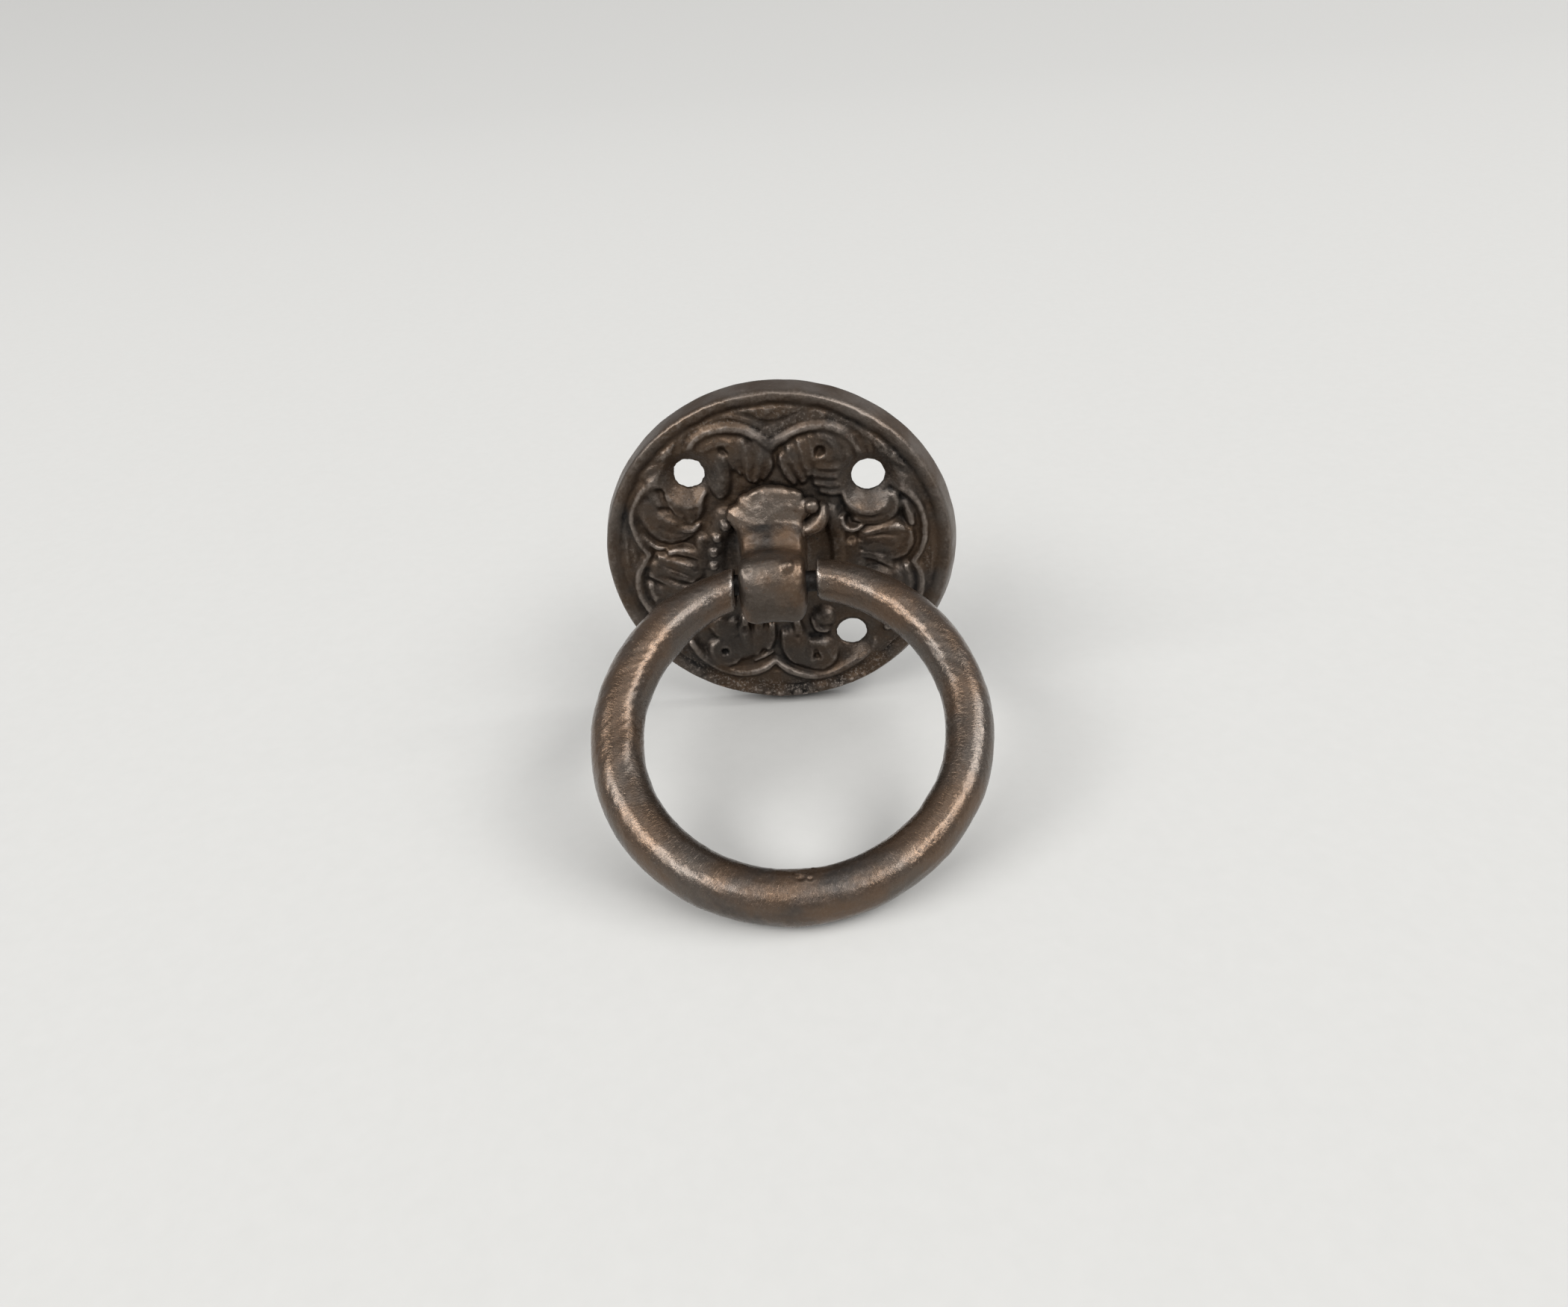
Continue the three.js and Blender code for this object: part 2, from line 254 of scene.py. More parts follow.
LEAVES = [
    # upper left lobe: a curled leaf, wrapped round an eye
    [(-16.2, 19.6, 1.2, 4.2), (-15.2, 21.6, 1.5, 4.5), (-13.6, 23.2, 1.6, 4.7), (-11.6, 24.1, 1.4, 4.8),
     (-9.8, 24, 1.1, 4.7)],
    [(-12.6, 21.6, 1.6, 4.6), (-12.2, 19.4, 2.1, 4.8), (-11.9, 17, 2.2, 4.8), (-11.6, 14.8, 1.9, 4.6),
     (-11.6, 13.6, 1.3, 4.2)],
    [(-9, 23.6, 0.9, 4.6), (-8.4, 21.6, 1.1, 4.7), (-7.9, 19.6, 1, 4.5), (-7.6, 18, 0.6, 4.1)],
    [(-7.2, 24.4, 0.9, 4.6), (-6.6, 22.4, 1.3, 4.9), (-6.3, 20, 1.3, 4.8), (-6.1, 17.8, 1, 4.4),
     (-5.8, 16.4, 0.6, 4)],
    [(-4.9, 23.9, 1, 4.5), (-4, 22, 1.4, 4.8), (-3.9, 19.8, 1.4, 4.7), (-4.5, 17.6, 1.1, 4.3),
     (-5, 16.2, 0.6, 3.9)],
    [(-2.9, 22, 0.9, 4.2), (-2.2, 20.2, 1, 4.3), (-2.6, 18.4, 0.9, 4.1), (-3.4, 16.8, 0.6, 3.8)],
    # upper right lobe
    [(0.2, 21, 0.9, 4.2), (0.9, 19, 1.1, 4.4), (1.9, 17.2, 1, 4.2), (2.6, 15.9, 0.6, 3.9)],
    [(1.6, 22.8, 1, 4.5), (2.3, 20.6, 1.2, 4.7), (3.3, 18.4, 1.2, 4.5), (4.2, 16.6, 0.9, 4.1)],
    [(3.4, 24.3, 1, 4.7), (4, 22.2, 1.3, 4.9), (4.6, 20, 1.3, 4.8), (5.2, 18, 1, 4.4)],
    [(5.4, 25.2, 0.9, 4.7), (5.7, 23.4, 1, 4.8), (6, 21.6, 0.9, 4.7), (6.1, 20, 0.6, 4.3)],
    [(7.2, 25.4, 1.1, 4.8), (9, 24.9, 1.3, 4.9), (10.1, 23.3, 1.4, 4.9), (9.8, 21.6, 1.4, 4.8),
     (8.6, 20.6, 1, 4.6)],
    [(10.6, 25.2, 1, 4.6), (12, 23.6, 1.2, 4.7), (12.4, 21.6, 1.2, 4.6), (12, 20.4, 0.8, 4.4)],
    [(7, 19.5, 0.9, 4.5), (9, 19.4, 1.1, 4.8), (11, 19.7, 1.1, 4.7), (12.8, 20.2, 0.7, 4.5)],
    [(6.6, 17.8, 0.9, 4.4), (8.8, 17.6, 1.1, 4.6), (11.2, 17.8, 1.1, 4.6), (12.9, 18.2, 0.7, 4.3)],
    [(7, 16, 0.9, 4.2), (9.2, 15.8, 1.1, 4.5), (11.3, 16, 1, 4.4), (12.6, 16.4, 0.6, 4.2)],
    [(8, 14.3, 0.8, 4), (10, 14.2, 1, 4.3), (12, 14.6, 0.8, 4.1)],
    # left upper lobe
    [(-22.4, 15.2, 0.8, 4.7), (-21, 13.6, 1, 4.9), (-19.4, 12.2, 1.1, 5), (-17.6, 11.4, 1.1, 5),
     (-16, 12.3, 1, 4.9), (-14.9, 13.9, 0.7, 4.6)],
    [(-21.6, 13.2, 1.1, 4.7), (-20.7, 11.2, 1.4, 4.8), (-19.3, 9.3, 1.3, 4.6), (-18.4, 8, 0.8, 4.2)],
    [(-18, 11, 1.3, 4.8), (-17.6, 9.2, 1.4, 4.6), (-17.4, 7.6, 0.9, 4.2)],
    [(-15.8, 12.6, 1.1, 4.6), (-16, 10.4, 1.1, 4.4), (-16.4, 8.6, 0.7, 4)],
    [(-25, 13.9, 1.1, 4.6), (-23.8, 12.2, 1.2, 4.7), (-22.8, 10.6, 1, 4.4)],
    [(-27, 11.8, 1, 4.4), (-26.6, 9.8, 1.3, 4.6), (-25.4, 7.6, 1.7, 4.8), (-23.8, 5.7, 2, 4.8),
     (-21.8, 4.6, 1.8, 4.7), (-19.4, 4.6, 1.2, 4.3), (-17.4, 5, 0.6, 3.9)],
    [(-24.3, 9, 0.9, 4.8), (-22.4, 8.2, 1.1, 4.9), (-20.4, 7.3, 1, 4.7)],
    [(-20.3, 6.8, 0.8, 4.5), (-18.8, 6.1, 1, 4.7), (-17.2, 6.2, 0.9, 4.6), (-16.2, 7, 0.6, 4.3)],
    [(-28, 5.6, 0.3, 3.9), (-26.9, 4.1, 0.55, 4.2), (-25.4, 2.6, 0.7, 4.3), (-24, 1.9, 0.7, 4.3),
     (-22.9, 1.9, 0.4, 4)],
    # left lower lobe: fingers that fan out from the lower left
    [(-22, 1, 0.9, 4.5), (-20, 1.4, 1.2, 4.7), (-17.8, 0.8, 1.2, 4.6), (-16, -0.4, 0.8, 4.1)],
    [(-24, -0.2, 1, 4.4), (-21.8, -0.6, 1.2, 4.7), (-19.4, -1.6, 1.3, 4.8), (-17, -3, 1, 4.4)],
    [(-25.2, -1.8, 1, 4.4), (-23, -2.6, 1.2, 4.7), (-20.6, -3.8, 1.4, 4.8), (-18, -5, 1.1, 4.4)],
    [(-25.9, -4, 1, 4.4), (-23.8, -5, 1.2, 4.6), (-21.6, -6.2, 1.3, 4.7), (-19.2, -7.4, 1, 4.3)],
    [(-26.2, -6.4, 1, 4.5), (-25.4, -8.6, 1.3, 4.7), (-23.6, -10.4, 1.4, 4.7), (-21.2, -11.4, 1.2, 4.5)],
    [(-18.8, -8.6, 1, 4.3), (-16.8, -8.2, 1, 4.3), (-15, -7.4, 0.7, 4)],
    # right upper lobe: one plump curl with a rolled lip, one with a fold
    [(12.4, 14, 1, 4.7), (13.6, 12, 1.3, 5), (15.4, 10.7, 1.5, 5.1), (17.6, 10.4, 1.6, 5.1),
     (19.6, 11.4, 1.5, 5), (20.8, 13.4, 1, 4.8)],
    [(21.8, 13.6, 1, 4.7), (21.9, 11.8, 1.4, 4.8), (20.9, 9.8, 1.6, 4.7), (19, 8.5, 1.4, 4.5),
     (16.8, 8.1, 1.1, 4.2), (14.6, 8.6, 0.9, 4.1)],
    [(23.8, 12, 0.9, 4.5), (24.8, 10.2, 1.1, 4.7), (25.4, 8, 1, 4.6)],
    [(16.7, 5.6, 0.8, 4.5), (18.4, 6.2, 1.1, 4.8), (20.4, 6.8, 1.3, 5), (22.4, 7.1, 1.2, 5),
     (24, 6.6, 0.8, 4.7)],
    [(25, 6, 1.1, 4.5), (25, 3.8, 1.6, 4.7), (23.8, 1.8, 1.7, 4.7), (21.6, 0.7, 1.4, 4.5)],
    [(15.8, 3.4, 1.3, 4.2), (18.4, 3.8, 1.9, 4.6), (21, 3.6, 2, 4.7), (22.6, 3.4, 1.6, 4.6)],
    [(11.9, 8.6, 0.6, 4.1), (12.2, 7, 0.8, 4.3), (13.4, 6.2, 0.8, 4.4), (14.8, 6.4, 0.7, 4.4),
     (15.8, 7.1, 0.6, 4.3)],
    [(16.2, 0.9, 1.2, 4.1), (18.8, 0.6, 1.3, 4.4), (21, -0.8, 1.1, 4.4), (22.6, -2.4, 0.7, 4.1)],
    # right lower lobe
    [(25, -1.8, 0.9, 4.4), (25.6, -4.4, 1.3, 4.6), (25.2, -7.2, 1.4, 4.6), (23.6, -9.6, 1.4, 4.6),
     (21.4, -11, 1.1, 4.4)],
    [(23, -3.4, 1.1, 4.5), (20.4, -3.8, 1.4, 4.6), (17.6, -3.4, 1.1, 4.2)],
    [(23, -6, 1.1, 4.5), (20.4, -6.4, 1.4, 4.6), (17.2, -6, 1.1, 4.2)],
    [(20.8, -8.8, 1.1, 4.4), (18.2, -8.8, 1.3, 4.4), (15.4, -8, 1, 4.1)],
    # bottom right lobe
    [(0.8, -18, 1, 4.1), (1.1, -20.4, 1.3, 4.4), (1.9, -22.8, 1.2, 4.5), (3, -24.6, 0.8, 4.3)],
    [(3.2, -15, 0.9, 4.1), (3.5, -17, 1.2, 4.4), (3.7, -19.4, 1.5, 4.6), (4.3, -22, 1.6, 4.7),
     (4.9, -24.4, 1.2, 4.5)],
    [(6.3, -19.8, 1, 4.4), (8.2, -19.9, 1.3, 4.6), (10, -21.1, 1.5, 4.8), (10.4, -23.2, 1.5, 4.8),
     (9, -25.1, 1.4, 4.7), (6.8, -25.4, 1.1, 4.5)],
    [(6.7, -14.6, 0.8, 4.2), (7.6, -16.4, 0.9, 4.4), (9.4, -16.8, 0.8, 4.3)],
    # bottom left lobe
    [(-2, -16, 0.9, 4.1), (-2.2, -18.6, 1.2, 4.3), (-2.8, -21, 1, 4.2)],
    [(-4.6, -15, 1.1, 4.2), (-4.8, -17.8, 1.4, 4.5), (-4.9, -20.6, 1.3, 4.5), (-5.2, -22.6, 0.9, 4.2)],
    [(-7.4, -14.4, 1, 4.2), (-7.6, -17, 1.3, 4.5), (-7.2, -19.4, 1.3, 4.6), (-7, -21.6, 1, 4.4)],
    [(-8.6, -22.6, 1.1, 4.6), (-10, -24.1, 1.3, 4.8), (-12, -24.4, 1.4, 4.8), (-13.8, -23.1, 1.4, 4.7),
     (-14.1, -21.1, 1.2, 4.6), (-12.7, -19.7, 0.9, 4.4)],
    [(-9.6, -17.4, 1, 4.3), (-11.4, -18.2, 1.1, 4.4), (-13.2, -17.8, 0.9, 4.3)],
    [(-9.6, -15, 0.9, 4.1), (-11.6, -15.8, 1.1, 4.3), (-13.6, -15.4, 0.9, 4.1)],
    [(-5.6, -24.4, 0.4, 4), (-3.6, -23.2, 0.6, 4.2), (-1.8, -22.1, 0.4, 4)],
]
# The leaf bodies that the fingers stand on.
MASSES = [
    [(-13.5, 21.5, 2.4, 4.1), (-11, 21.8, 3.2, 4.4), (-8, 21.8, 3.4, 4.4), (-5.2, 21, 2.8, 4.1)],
    [(-11.5, 20, 2.2, 4.3), (-11.6, 16.4, 2.1, 4)],
    [(1, 20.2, 1.7, 3.9), (3.6, 21.5, 3.2, 4.3), (6.8, 22.7, 3.5, 4.4), (10.2, 22, 3, 4.3)],
    [(8.2, 18.2, 2.6, 4.1), (10.6, 18, 2.8, 4.1)],
    [(-25.6, 10.6, 2.3, 4.2), (-23.6, 7.6, 3.2, 4.4), (-20.6, 6.8, 2.6, 4.1)],
    [(-19.8, 12, 2.4, 4.5), (-17.6, 10, 2, 4.3)],
    [(-24, -2.6, 2.5, 4.2), (-21, -3.2, 3, 4.3), (-18.2, -3, 2.6, 4)],
    [(-23, -8.4, 3, 4.2), (-19, -9, 3, 4.1)],
    [(15, 11.4, 2.4, 4.5), (19.4, 11, 2.8, 4.5)],
    [(18, 4, 3, 4.2), (22, 4.2, 3.4, 4.4)],
    [(22.4, -5, 3.3, 4.3), (18.4, -5.6, 3, 4.1)],
    [(20.6, -9.4, 2.8, 4.1), (17, -8.6, 2.2, 4)],
    [(3, -19.6, 2.8, 4.1), (5.2, -23, 3, 4.4), (8.4, -22.8, 2.9, 4.4)],
    [(-4.2, -18.6, 2.6, 4), (-7.6, -20.6, 3.2, 4.2), (-11.6, -22, 3.2, 4.4)],
    [(-12.6, -16.2, 2.4, 4), (-11, -17.4, 2.6, 4)],
    [(-10.9, 8, 2.2, 3.6), (-12.8, 4, 2.1, 3.6), (-13.4, 0, 2, 3.5), (-13.2, -4.6, 2, 3.5),
     (-11, -10, 2, 3.5)],
    [(9.6, 9.4, 1.6, 3.7), (11, 5.4, 1.7, 3.7), (11.6, 1, 1.6, 3.6), (11.2, -3.4, 1.6, 3.5)],
    [(14.2, 2.4, 1.5, 3.6), (14.8, -1.6, 2.2, 3.7), (14.2, -5, 1.8, 3.6)],
    [(-15.6, 3.4, 1.5, 3.9), (-15.8, -1.6, 1.4, 3.8)],
]
THIN_RIDGES = [
    [(-18.9, 21.8, 0.3, 4), (-18.8, 24, 0.35, 4.2), (-17.6, 26.3, 0.4, 4.3), (-15.6, 28, 0.4, 4.3),
     (-13, 28.9, 0.4, 4.3), (-10.3, 29.2, 0.4, 4.3), (-7, 28.6, 0.4, 4.3), (-4.8, 27.7, 0.35, 4.2),
     (-3.2, 26.5, 0.3, 4)],
    [(-20.6, 19.6, 0.3, 4.1), (-23.2, 19.2, 0.35, 4.2), (-25.8, 18, 0.35, 4.2), (-27.8, 16, 0.3, 4.1),
     (-29.2, 13, 0.25, 4)],
    [(-21.6, 18.9, 0.25, 4.2), (-24, 18.2, 0.3, 4.2), (-26.2, 16.8, 0.3, 4.1)],
    [(-30.4, 4.4, 0.3, 4.2), (-30.5, 1, 0.35, 4.3), (-30.3, -2, 0.3, 4.2)],
    [(-29.4, 2.8, 0.25, 4), (-28.6, 0.2, 0.3, 4.2), (-29.4, -2.2, 0.25, 4)],
    [(29.6, 3.4, 0.3, 4.1), (29.9, 0, 0.35, 4.2), (30, -3.4, 0.3, 4.1)],
    [(22.2, 18, 0.4, 4.3), (23.6, 17.2, 0.5, 4.4), (24.8, 16, 0.4, 4.2)],
    [(16.2, 20.9, 0.3, 4.2), (16.6, 23.2, 0.4, 4.2), (15.2, 26, 0.35, 4.1), (13, 27.8, 0.3, 4)],
]
# Low rough-cast patches: (x, z, half width, height); their surface is granular.
GRAINY = [
    [(-9.2, 30.4, 0.5, 4.1), (-6, 30.6, 0.9, 4.3), (-2.8, 30.1, 1.7, 4.5), (0.2, 30.4, 1.4, 4.4),
     (4.6, 31, 0.5, 4.1)],
    [(-18, 23.6, 0.9, 3.9), (-16.3, 26.2, 1, 4), (-13, 28, 1.1, 4.1), (-10, 28.3, 1.1, 4.1),
     (-6.5, 27.8, 1.1, 4.1), (-4, 26.7, 1, 4)],
    [(-3.4, 26, 0.9, 4.1), (-1.8, 26.2, 1.3, 4.2), (0.4, 27.4, 1, 4.2), (3, 28.8, 1, 4.2),
     (6.5, 29.6, 1, 4.2), (9.6, 29.2, 0.9, 4.1), (12.4, 27.8, 0.7, 4)],
    [(-19.4, 25.6, 0.3, 4.2), (-20.8, 23.4, 0.9, 4.5), (-22, 21.6, 1.4, 4.6), (-22.8, 20.8, 1, 4.4)],
    [(16.2, 26.2, 0.7, 4.3), (18.2, 24, 1.1, 4.5), (20.4, 22, 1.2, 4.5), (22.6, 20.7, 1, 4.4),
     (24.6, 19.8, 0.6, 4.2)],
    [(-29.6, 3.2, 0.5, 4), (-29.2, 0.8, 1, 4.1), (-29.5, -1.6, 0.7, 4)],
    [(-31.6, 2.6, 0.5, 4), (-31.6, 1.2, 0.6, 4)],
    [(29.2, 2.2, 0.6, 4), (29, -0.6, 1, 4.1), (29.6, -3, 0.6, 4)],
    [(-7.6, -30.2, 0.8, 4.2), (-5.4, -30.6, 0.6, 4.2)],
    [(-2, -30.6, 0.8, 4.3), (0.4, -30.9, 0.6, 4.2), (3.4, -30.8, 0.7, 4.2)],
    [(7.2, -30.2, 0.8, 4.4), (9, -29.6, 0.6, 4.2)],
    [(12.6, -28.9, 0.6, 4.2), (15.2, -27.6, 0.9, 4.4), (16.2, -26.4, 0.6, 4.2)],
    [(18, -25.4, 0.7, 4.3), (19.2, -23.8, 0.6, 4.3)],
    [(-20.4, -23.8, 0.9, 4.3), (-22.6, -21.6, 1.2, 4.4), (-24.6, -19.4, 0.8, 4.2)],
    [(22, -21.4, 0.9, 4.3), (24.2, -19, 1.1, 4.4), (25.8, -16.8, 0.7, 4.2)],
]
# Round bosses: (x, z, radius, height).
KNOBS = [
    (-10.9, 6.9, 1.7, 5.1), (-12.6, 4.2, 1.6, 5), (-13.3, 1, 1.55, 4.9), (-13.4, -2, 1.5, 4.8),
    (-13, -5, 1.5, 4.8), (-12.2, -7.8, 1.4, 4.7), (-10.6, -10.4, 1.4, 4.7), (8.9, -13.9, 2.5, 4.8),
    (24.3, 10.8, 0.7, 4.8), (-31.6, 2.2, 0.7, 4.3),
]
# Eyes and pits: (x, z, radius, depth).
PITS = [
    (-11.1, 22.6, 0.85, 1.3), (-10.3, 22.1, 0.6, 1), (7.3, 22.7, 1.15, 1.9), (6.7, 21.9, 0.5, 0.7),
    (-23, 10.4, 0.8, 0.9), (-21.6, 10.3, 0.6, 0.8), (18, 11.8, 0.5, 0.35), (18.7, 11.9, 0.45, 0.35),
    (-11.7, -21.9, 1, 1.3), (7.4, -22.8, 0.9, 1.4), (7.2, -21.6, 0.6, 0.9), (-7.5, -16.4, 0.8, 0.7),
    (3.4, -18.3, 0.7, 0.6), (-0.9, -26.9, 0.4, 0.8), (-22.9, 3.5, 0.3, 0.3), (13.3, 8.3, 0.8, 0.6),
]
# Fine chased lines: rows of (x, z, half width, depth).
CUTS = [
    [(-14.4, 22.2, 0.3, 0.4), (-13.6, 20.4, 0.26, 0.4), (-13.4, 18.4, 0.2, 0.3)],
    [(-12.6, 20.4, 0.2, 0.3), (-12, 18, 0.22, 0.35), (-11.2, 15.8, 0.2, 0.25)],
    [(-10.2, 21, 0.3, 0.5), (-9.6, 19, 0.3, 0.5), (-9.2, 17.2, 0.25, 0.4)],
    [(-7.6, 22.6, 0.16, 0.25), (-7.3, 20.4, 0.18, 0.3), (-7, 18.6, 0.14, 0.2)],
    [(3.2, 23, 0.16, 0.25), (3.5, 21, 0.2, 0.3), (4.1, 19, 0.16, 0.25)],
    [(7.2, 18.6, 0.2, 0.3), (9.4, 18.5, 0.22, 0.35), (12.2, 19, 0.18, 0.25)],
    [(7.2, 16.8, 0.2, 0.3), (9.4, 16.7, 0.22, 0.35), (12, 17, 0.18, 0.25)],
    [(-21.4, 12.2, 0.2, 0.35), (-20.2, 10.4, 0.22, 0.4), (-18.7, 9.2, 0.18, 0.3)],
    [(-19.3, 10.9, 0.2, 0.35), (-18.4, 9.2, 0.22, 0.35), (-17.9, 7.8, 0.18, 0.25)],
    [(-22.6, 0, 0.2, 0.35), (-20.2, -0.2, 0.24, 0.4), (-17.6, -1.4, 0.2, 0.3)],
    [(-23.4, -1.6, 0.2, 0.35), (-20.6, -2.8, 0.24, 0.4), (-17.6, -4.2, 0.2, 0.3)],
    [(-24, -3.8, 0.2, 0.35), (-21.4, -5, 0.24, 0.4), (-18.8, -6.4, 0.2, 0.3)],
    [(21.9, 12.4, 0.2, 0.3), (21, 10.6, 0.2, 0.3), (19.4, 9.5, 0.18, 0.25)],
    [(15.4, 9.6, 0.2, 0.3), (17.6, 9.2, 0.24, 0.35), (19.6, 9.9, 0.2, 0.3)],
    [(17, 5, 0.2, 0.3), (20, 5.4, 0.26, 0.45), (23, 5.4, 0.22, 0.35)],
    [(22.6, 4, 0.14, 0.25), (23.4, 3.7, 0.16, 0.3), (23.9, 4.4, 0.14, 0.25)],
    [(4.8, -20.4, 0.18, 0.25), (5.4, -22.6, 0.2, 0.3), (5.4, -24.6, 0.16, 0.25)],
    [(-6.2, -16.6, 0.2, 0.3), (-6, -19.2, 0.22, 0.35), (-6.1, -21.8, 0.18, 0.25)],
]
# What is laid on the field, in order: strokes, widening, power of their section, grain, extra height.
LAYERS = [
    (MASSES, 1.12, 2.4, 0.2, 0.55),
    (LEAVES, 1.12, 2.0, 0.2, 0.25),
    (THIN_RIDGES, 1.3, 2.0, 0.3, 0.15),
    (MOULDING, 1.1, 2.0, 0.12, 0.35),
]

RIM_CREST = 33.5
RIM_FACE = 1.45
RIM_DROP = 0.75
RIM_LIP = 0.55
RIM_HEIGHT = 4.7
GROOVE_HEIGHT = 3.75
FIELD_LOW = 3.0
FUNNEL_SLOPE = 0.72
FUNNEL_TOP = 5.0
SEAT_RADIUS = 9.0
SEAT_HEIGHT = 3.9
FIELD_GRAIN = 0.25
COARSE_GRAIN = 0.5
PLATE_SPOKES = 760
SEAT_RINGS = 8
FIELD_RINGS = 106
BACK_WEAR = -0.3


def along(x, z, stroke, widen=1.0):
    """For points near a stroke: which points, their distance over the half width, and the last column."""
    path = spline(stroke, 5)
    path[:, 2] *= widen
    reach = path[:, 2].max()
    near = (x > path[:, 0].min() - reach) & (x < path[:, 0].max() + reach)
    near &= (z > path[:, 1].min() - reach) & (z < path[:, 1].max() + reach)
    picked = np.flatnonzero(near)
    across = np.full(len(picked), FAR)
    level = np.zeros(len(picked))
    for a, b in zip(path[:-1], path[1:]):
        t, square = share_along(x[picked], z[picked], a, b)
        share = np.sqrt(square) / np.maximum(0.05, a[2] + t * (b[2] - a[2]))
        closer = share < across
        across = np.where(closer, share, across)
        level = np.where(closer, a[3] + t * (b[3] - a[3]), level)
    inside = across < 1
    return picked[inside], across[inside], level[inside]


def rim_crest(angle):
    """The hand-cast rim's crest isn't quite round: its radius and its height at an angle."""
    low = smooth_step(0.2, -1.0, np.sin(angle))
    radius = RIM_CREST - 0.38 * np.cos(angle) + 0.2 * np.sin(angle) - 0.55 * low
    radius = radius + 0.06 * np.sin(5 * angle + 1) + 0.04 * np.sin(11 * angle)
    height = RIM_HEIGHT + 0.2 * np.sin(angle) + 0.04 * np.sin(7 * angle + 2)
    return radius, height


def cast_ornament(x, z, ground):
    """Height of the ornament at points in its own axes, and how granular it is there."""
    height = ground.copy()
    grain = np.full(len(x), FIELD_GRAIN)
    for stroke in GRAINY:
        at, across, level = along(x, z, stroke)
        body = ground[at] + (level - ground[at]) * (1 - across**4) ** 0.5
        grain[at] = np.where(body > height[at], 1.0 - 0.4 * across, grain[at])
        height[at] = np.maximum(height[at], body)
    for strokes, widen, power, layer_grain, lift in LAYERS:
        for stroke in strokes:
            at, across, level = along(x, z, stroke, widen)
            body = ground[at] + (level + lift - ground[at]) * (1 - across**power) ** 0.7
            grain[at] = np.where(body > height[at], layer_grain, grain[at])
            height[at] = np.maximum(height[at], body)
    for knob_x, knob_z, radius, top in KNOBS:
        share = np.hypot(x - knob_x, z - knob_z) / radius
        body = ground + (top - ground) * np.clip(1 - share**2.2, 0, 1) ** 0.75
        at = (share < 1) & (body > height)
        grain[at] = 0.1
        height[at] = body[at]
    for pit_x, pit_z, radius, depth in PITS:
        share = np.hypot(x - pit_x, z - pit_z) / radius
        height -= depth * np.clip(1 - share**2, 0, 1)
    for stroke in CUTS:
        at, across, depth = along(x, z, stroke)
        height[at] -= depth * (1 - across**2)
    return height, grain


def hole_centre(bearing, distance):
    """A screw hole's middle, as x and z."""
    turn = math.radians(bearing)
    return np.array([distance * math.cos(turn), distance * math.sin(turn)])


def plate_relief(x, z):
    """Height of the plate's front at points, and how granular the surface is there."""
    radius = np.hypot(x, z)
    flat = np.stack([x, z, 0 * x], -1)
    ground = FIELD_LOW + 0.25 * smooth_step(12, 20, radius) + 0.7 * smooth_step(25.5, 28.5, radius)
    ground = ground + 0.14 * rough(flat, 4.0, 2, 5)
    height, grain = cast_ornament(*ornament_axes(x, z), ground)
    # the surface of the casting
    height += grain * 0.17 * rough(flat, 0.75, 2, 40)
    height += 0.075 * rough(flat, 1.4, 2, 41)
    # countersunk screw holes
    for bearing, distance, hole_radius in SCREW_HOLES:
        centre = hole_centre(bearing, distance)
        cone = THROAT_HEIGHT + FUNNEL_SLOPE * (np.hypot(x - centre[0], z - centre[1]) - hole_radius)
        cone = np.where(cone < FUNNEL_TOP, cone + 0.05 * rough(flat, 0.9, 2, 44), FAR)
        grain = np.where(cone < height, 0.4, grain)
        height = np.minimum(height, np.maximum(cone, THROAT_HEIGHT))
    # rim, with its rounded face and the groove inside it; it is coarse at the bottom
    angle = np.arctan2(z, x)
    crest_radius, crest_height = rim_crest(angle)
    inward = crest_radius - radius
    coarse = 1 + 3.5 * smooth_step(-0.6, -0.95, np.sin(angle))
    nicks = 0.1 * coarse * rough(flat, 1.3, 2, 50) * smooth_step(1.8, 0.0, inward)
    face = crest_height - 0.42 * (np.clip(inward, 0, RIM_FACE) / RIM_FACE) ** 1.6 + nicks
    fall = smooth_step(RIM_FACE, RIM_FACE + RIM_DROP, inward + 0.2 * noise(flat, 2.2, 51))
    groove = GROOVE_HEIGHT + 0.2 * noise(flat, 3.0, 52)
    in_rim = inward < RIM_FACE + RIM_DROP
    near_groove = smooth_step(RIM_FACE + RIM_DROP + 0.4, RIM_FACE + RIM_DROP, inward)
    field = height + (np.minimum(height, groove) - height) * near_groove
    height = np.where(in_rim, face + (groove - face) * fall, field)
    grain = np.where(in_rim, 0.15 * coarse, grain)
    # under the lug's flange the casting is plain
    seat = smooth_step(8.2, 7.0, np.hypot(x - LUG_X, (z - 1.5) * 0.8))
    return height + (SEAT_HEIGHT - height) * seat, grain


def blurred(grid, passes):
    """A grid smoothed over its neighbours; rows are rings and columns go round."""
    out = grid.copy()
    for _ in range(passes):
        out = (np.roll(out, 1, 1) + 2 * out + np.roll(out, -1, 1)) / 4
        padded = np.vstack([out[:1], out, out[-1:]])
        out = (padded[:-2] + 2 * out + padded[2:]) / 4
    return out


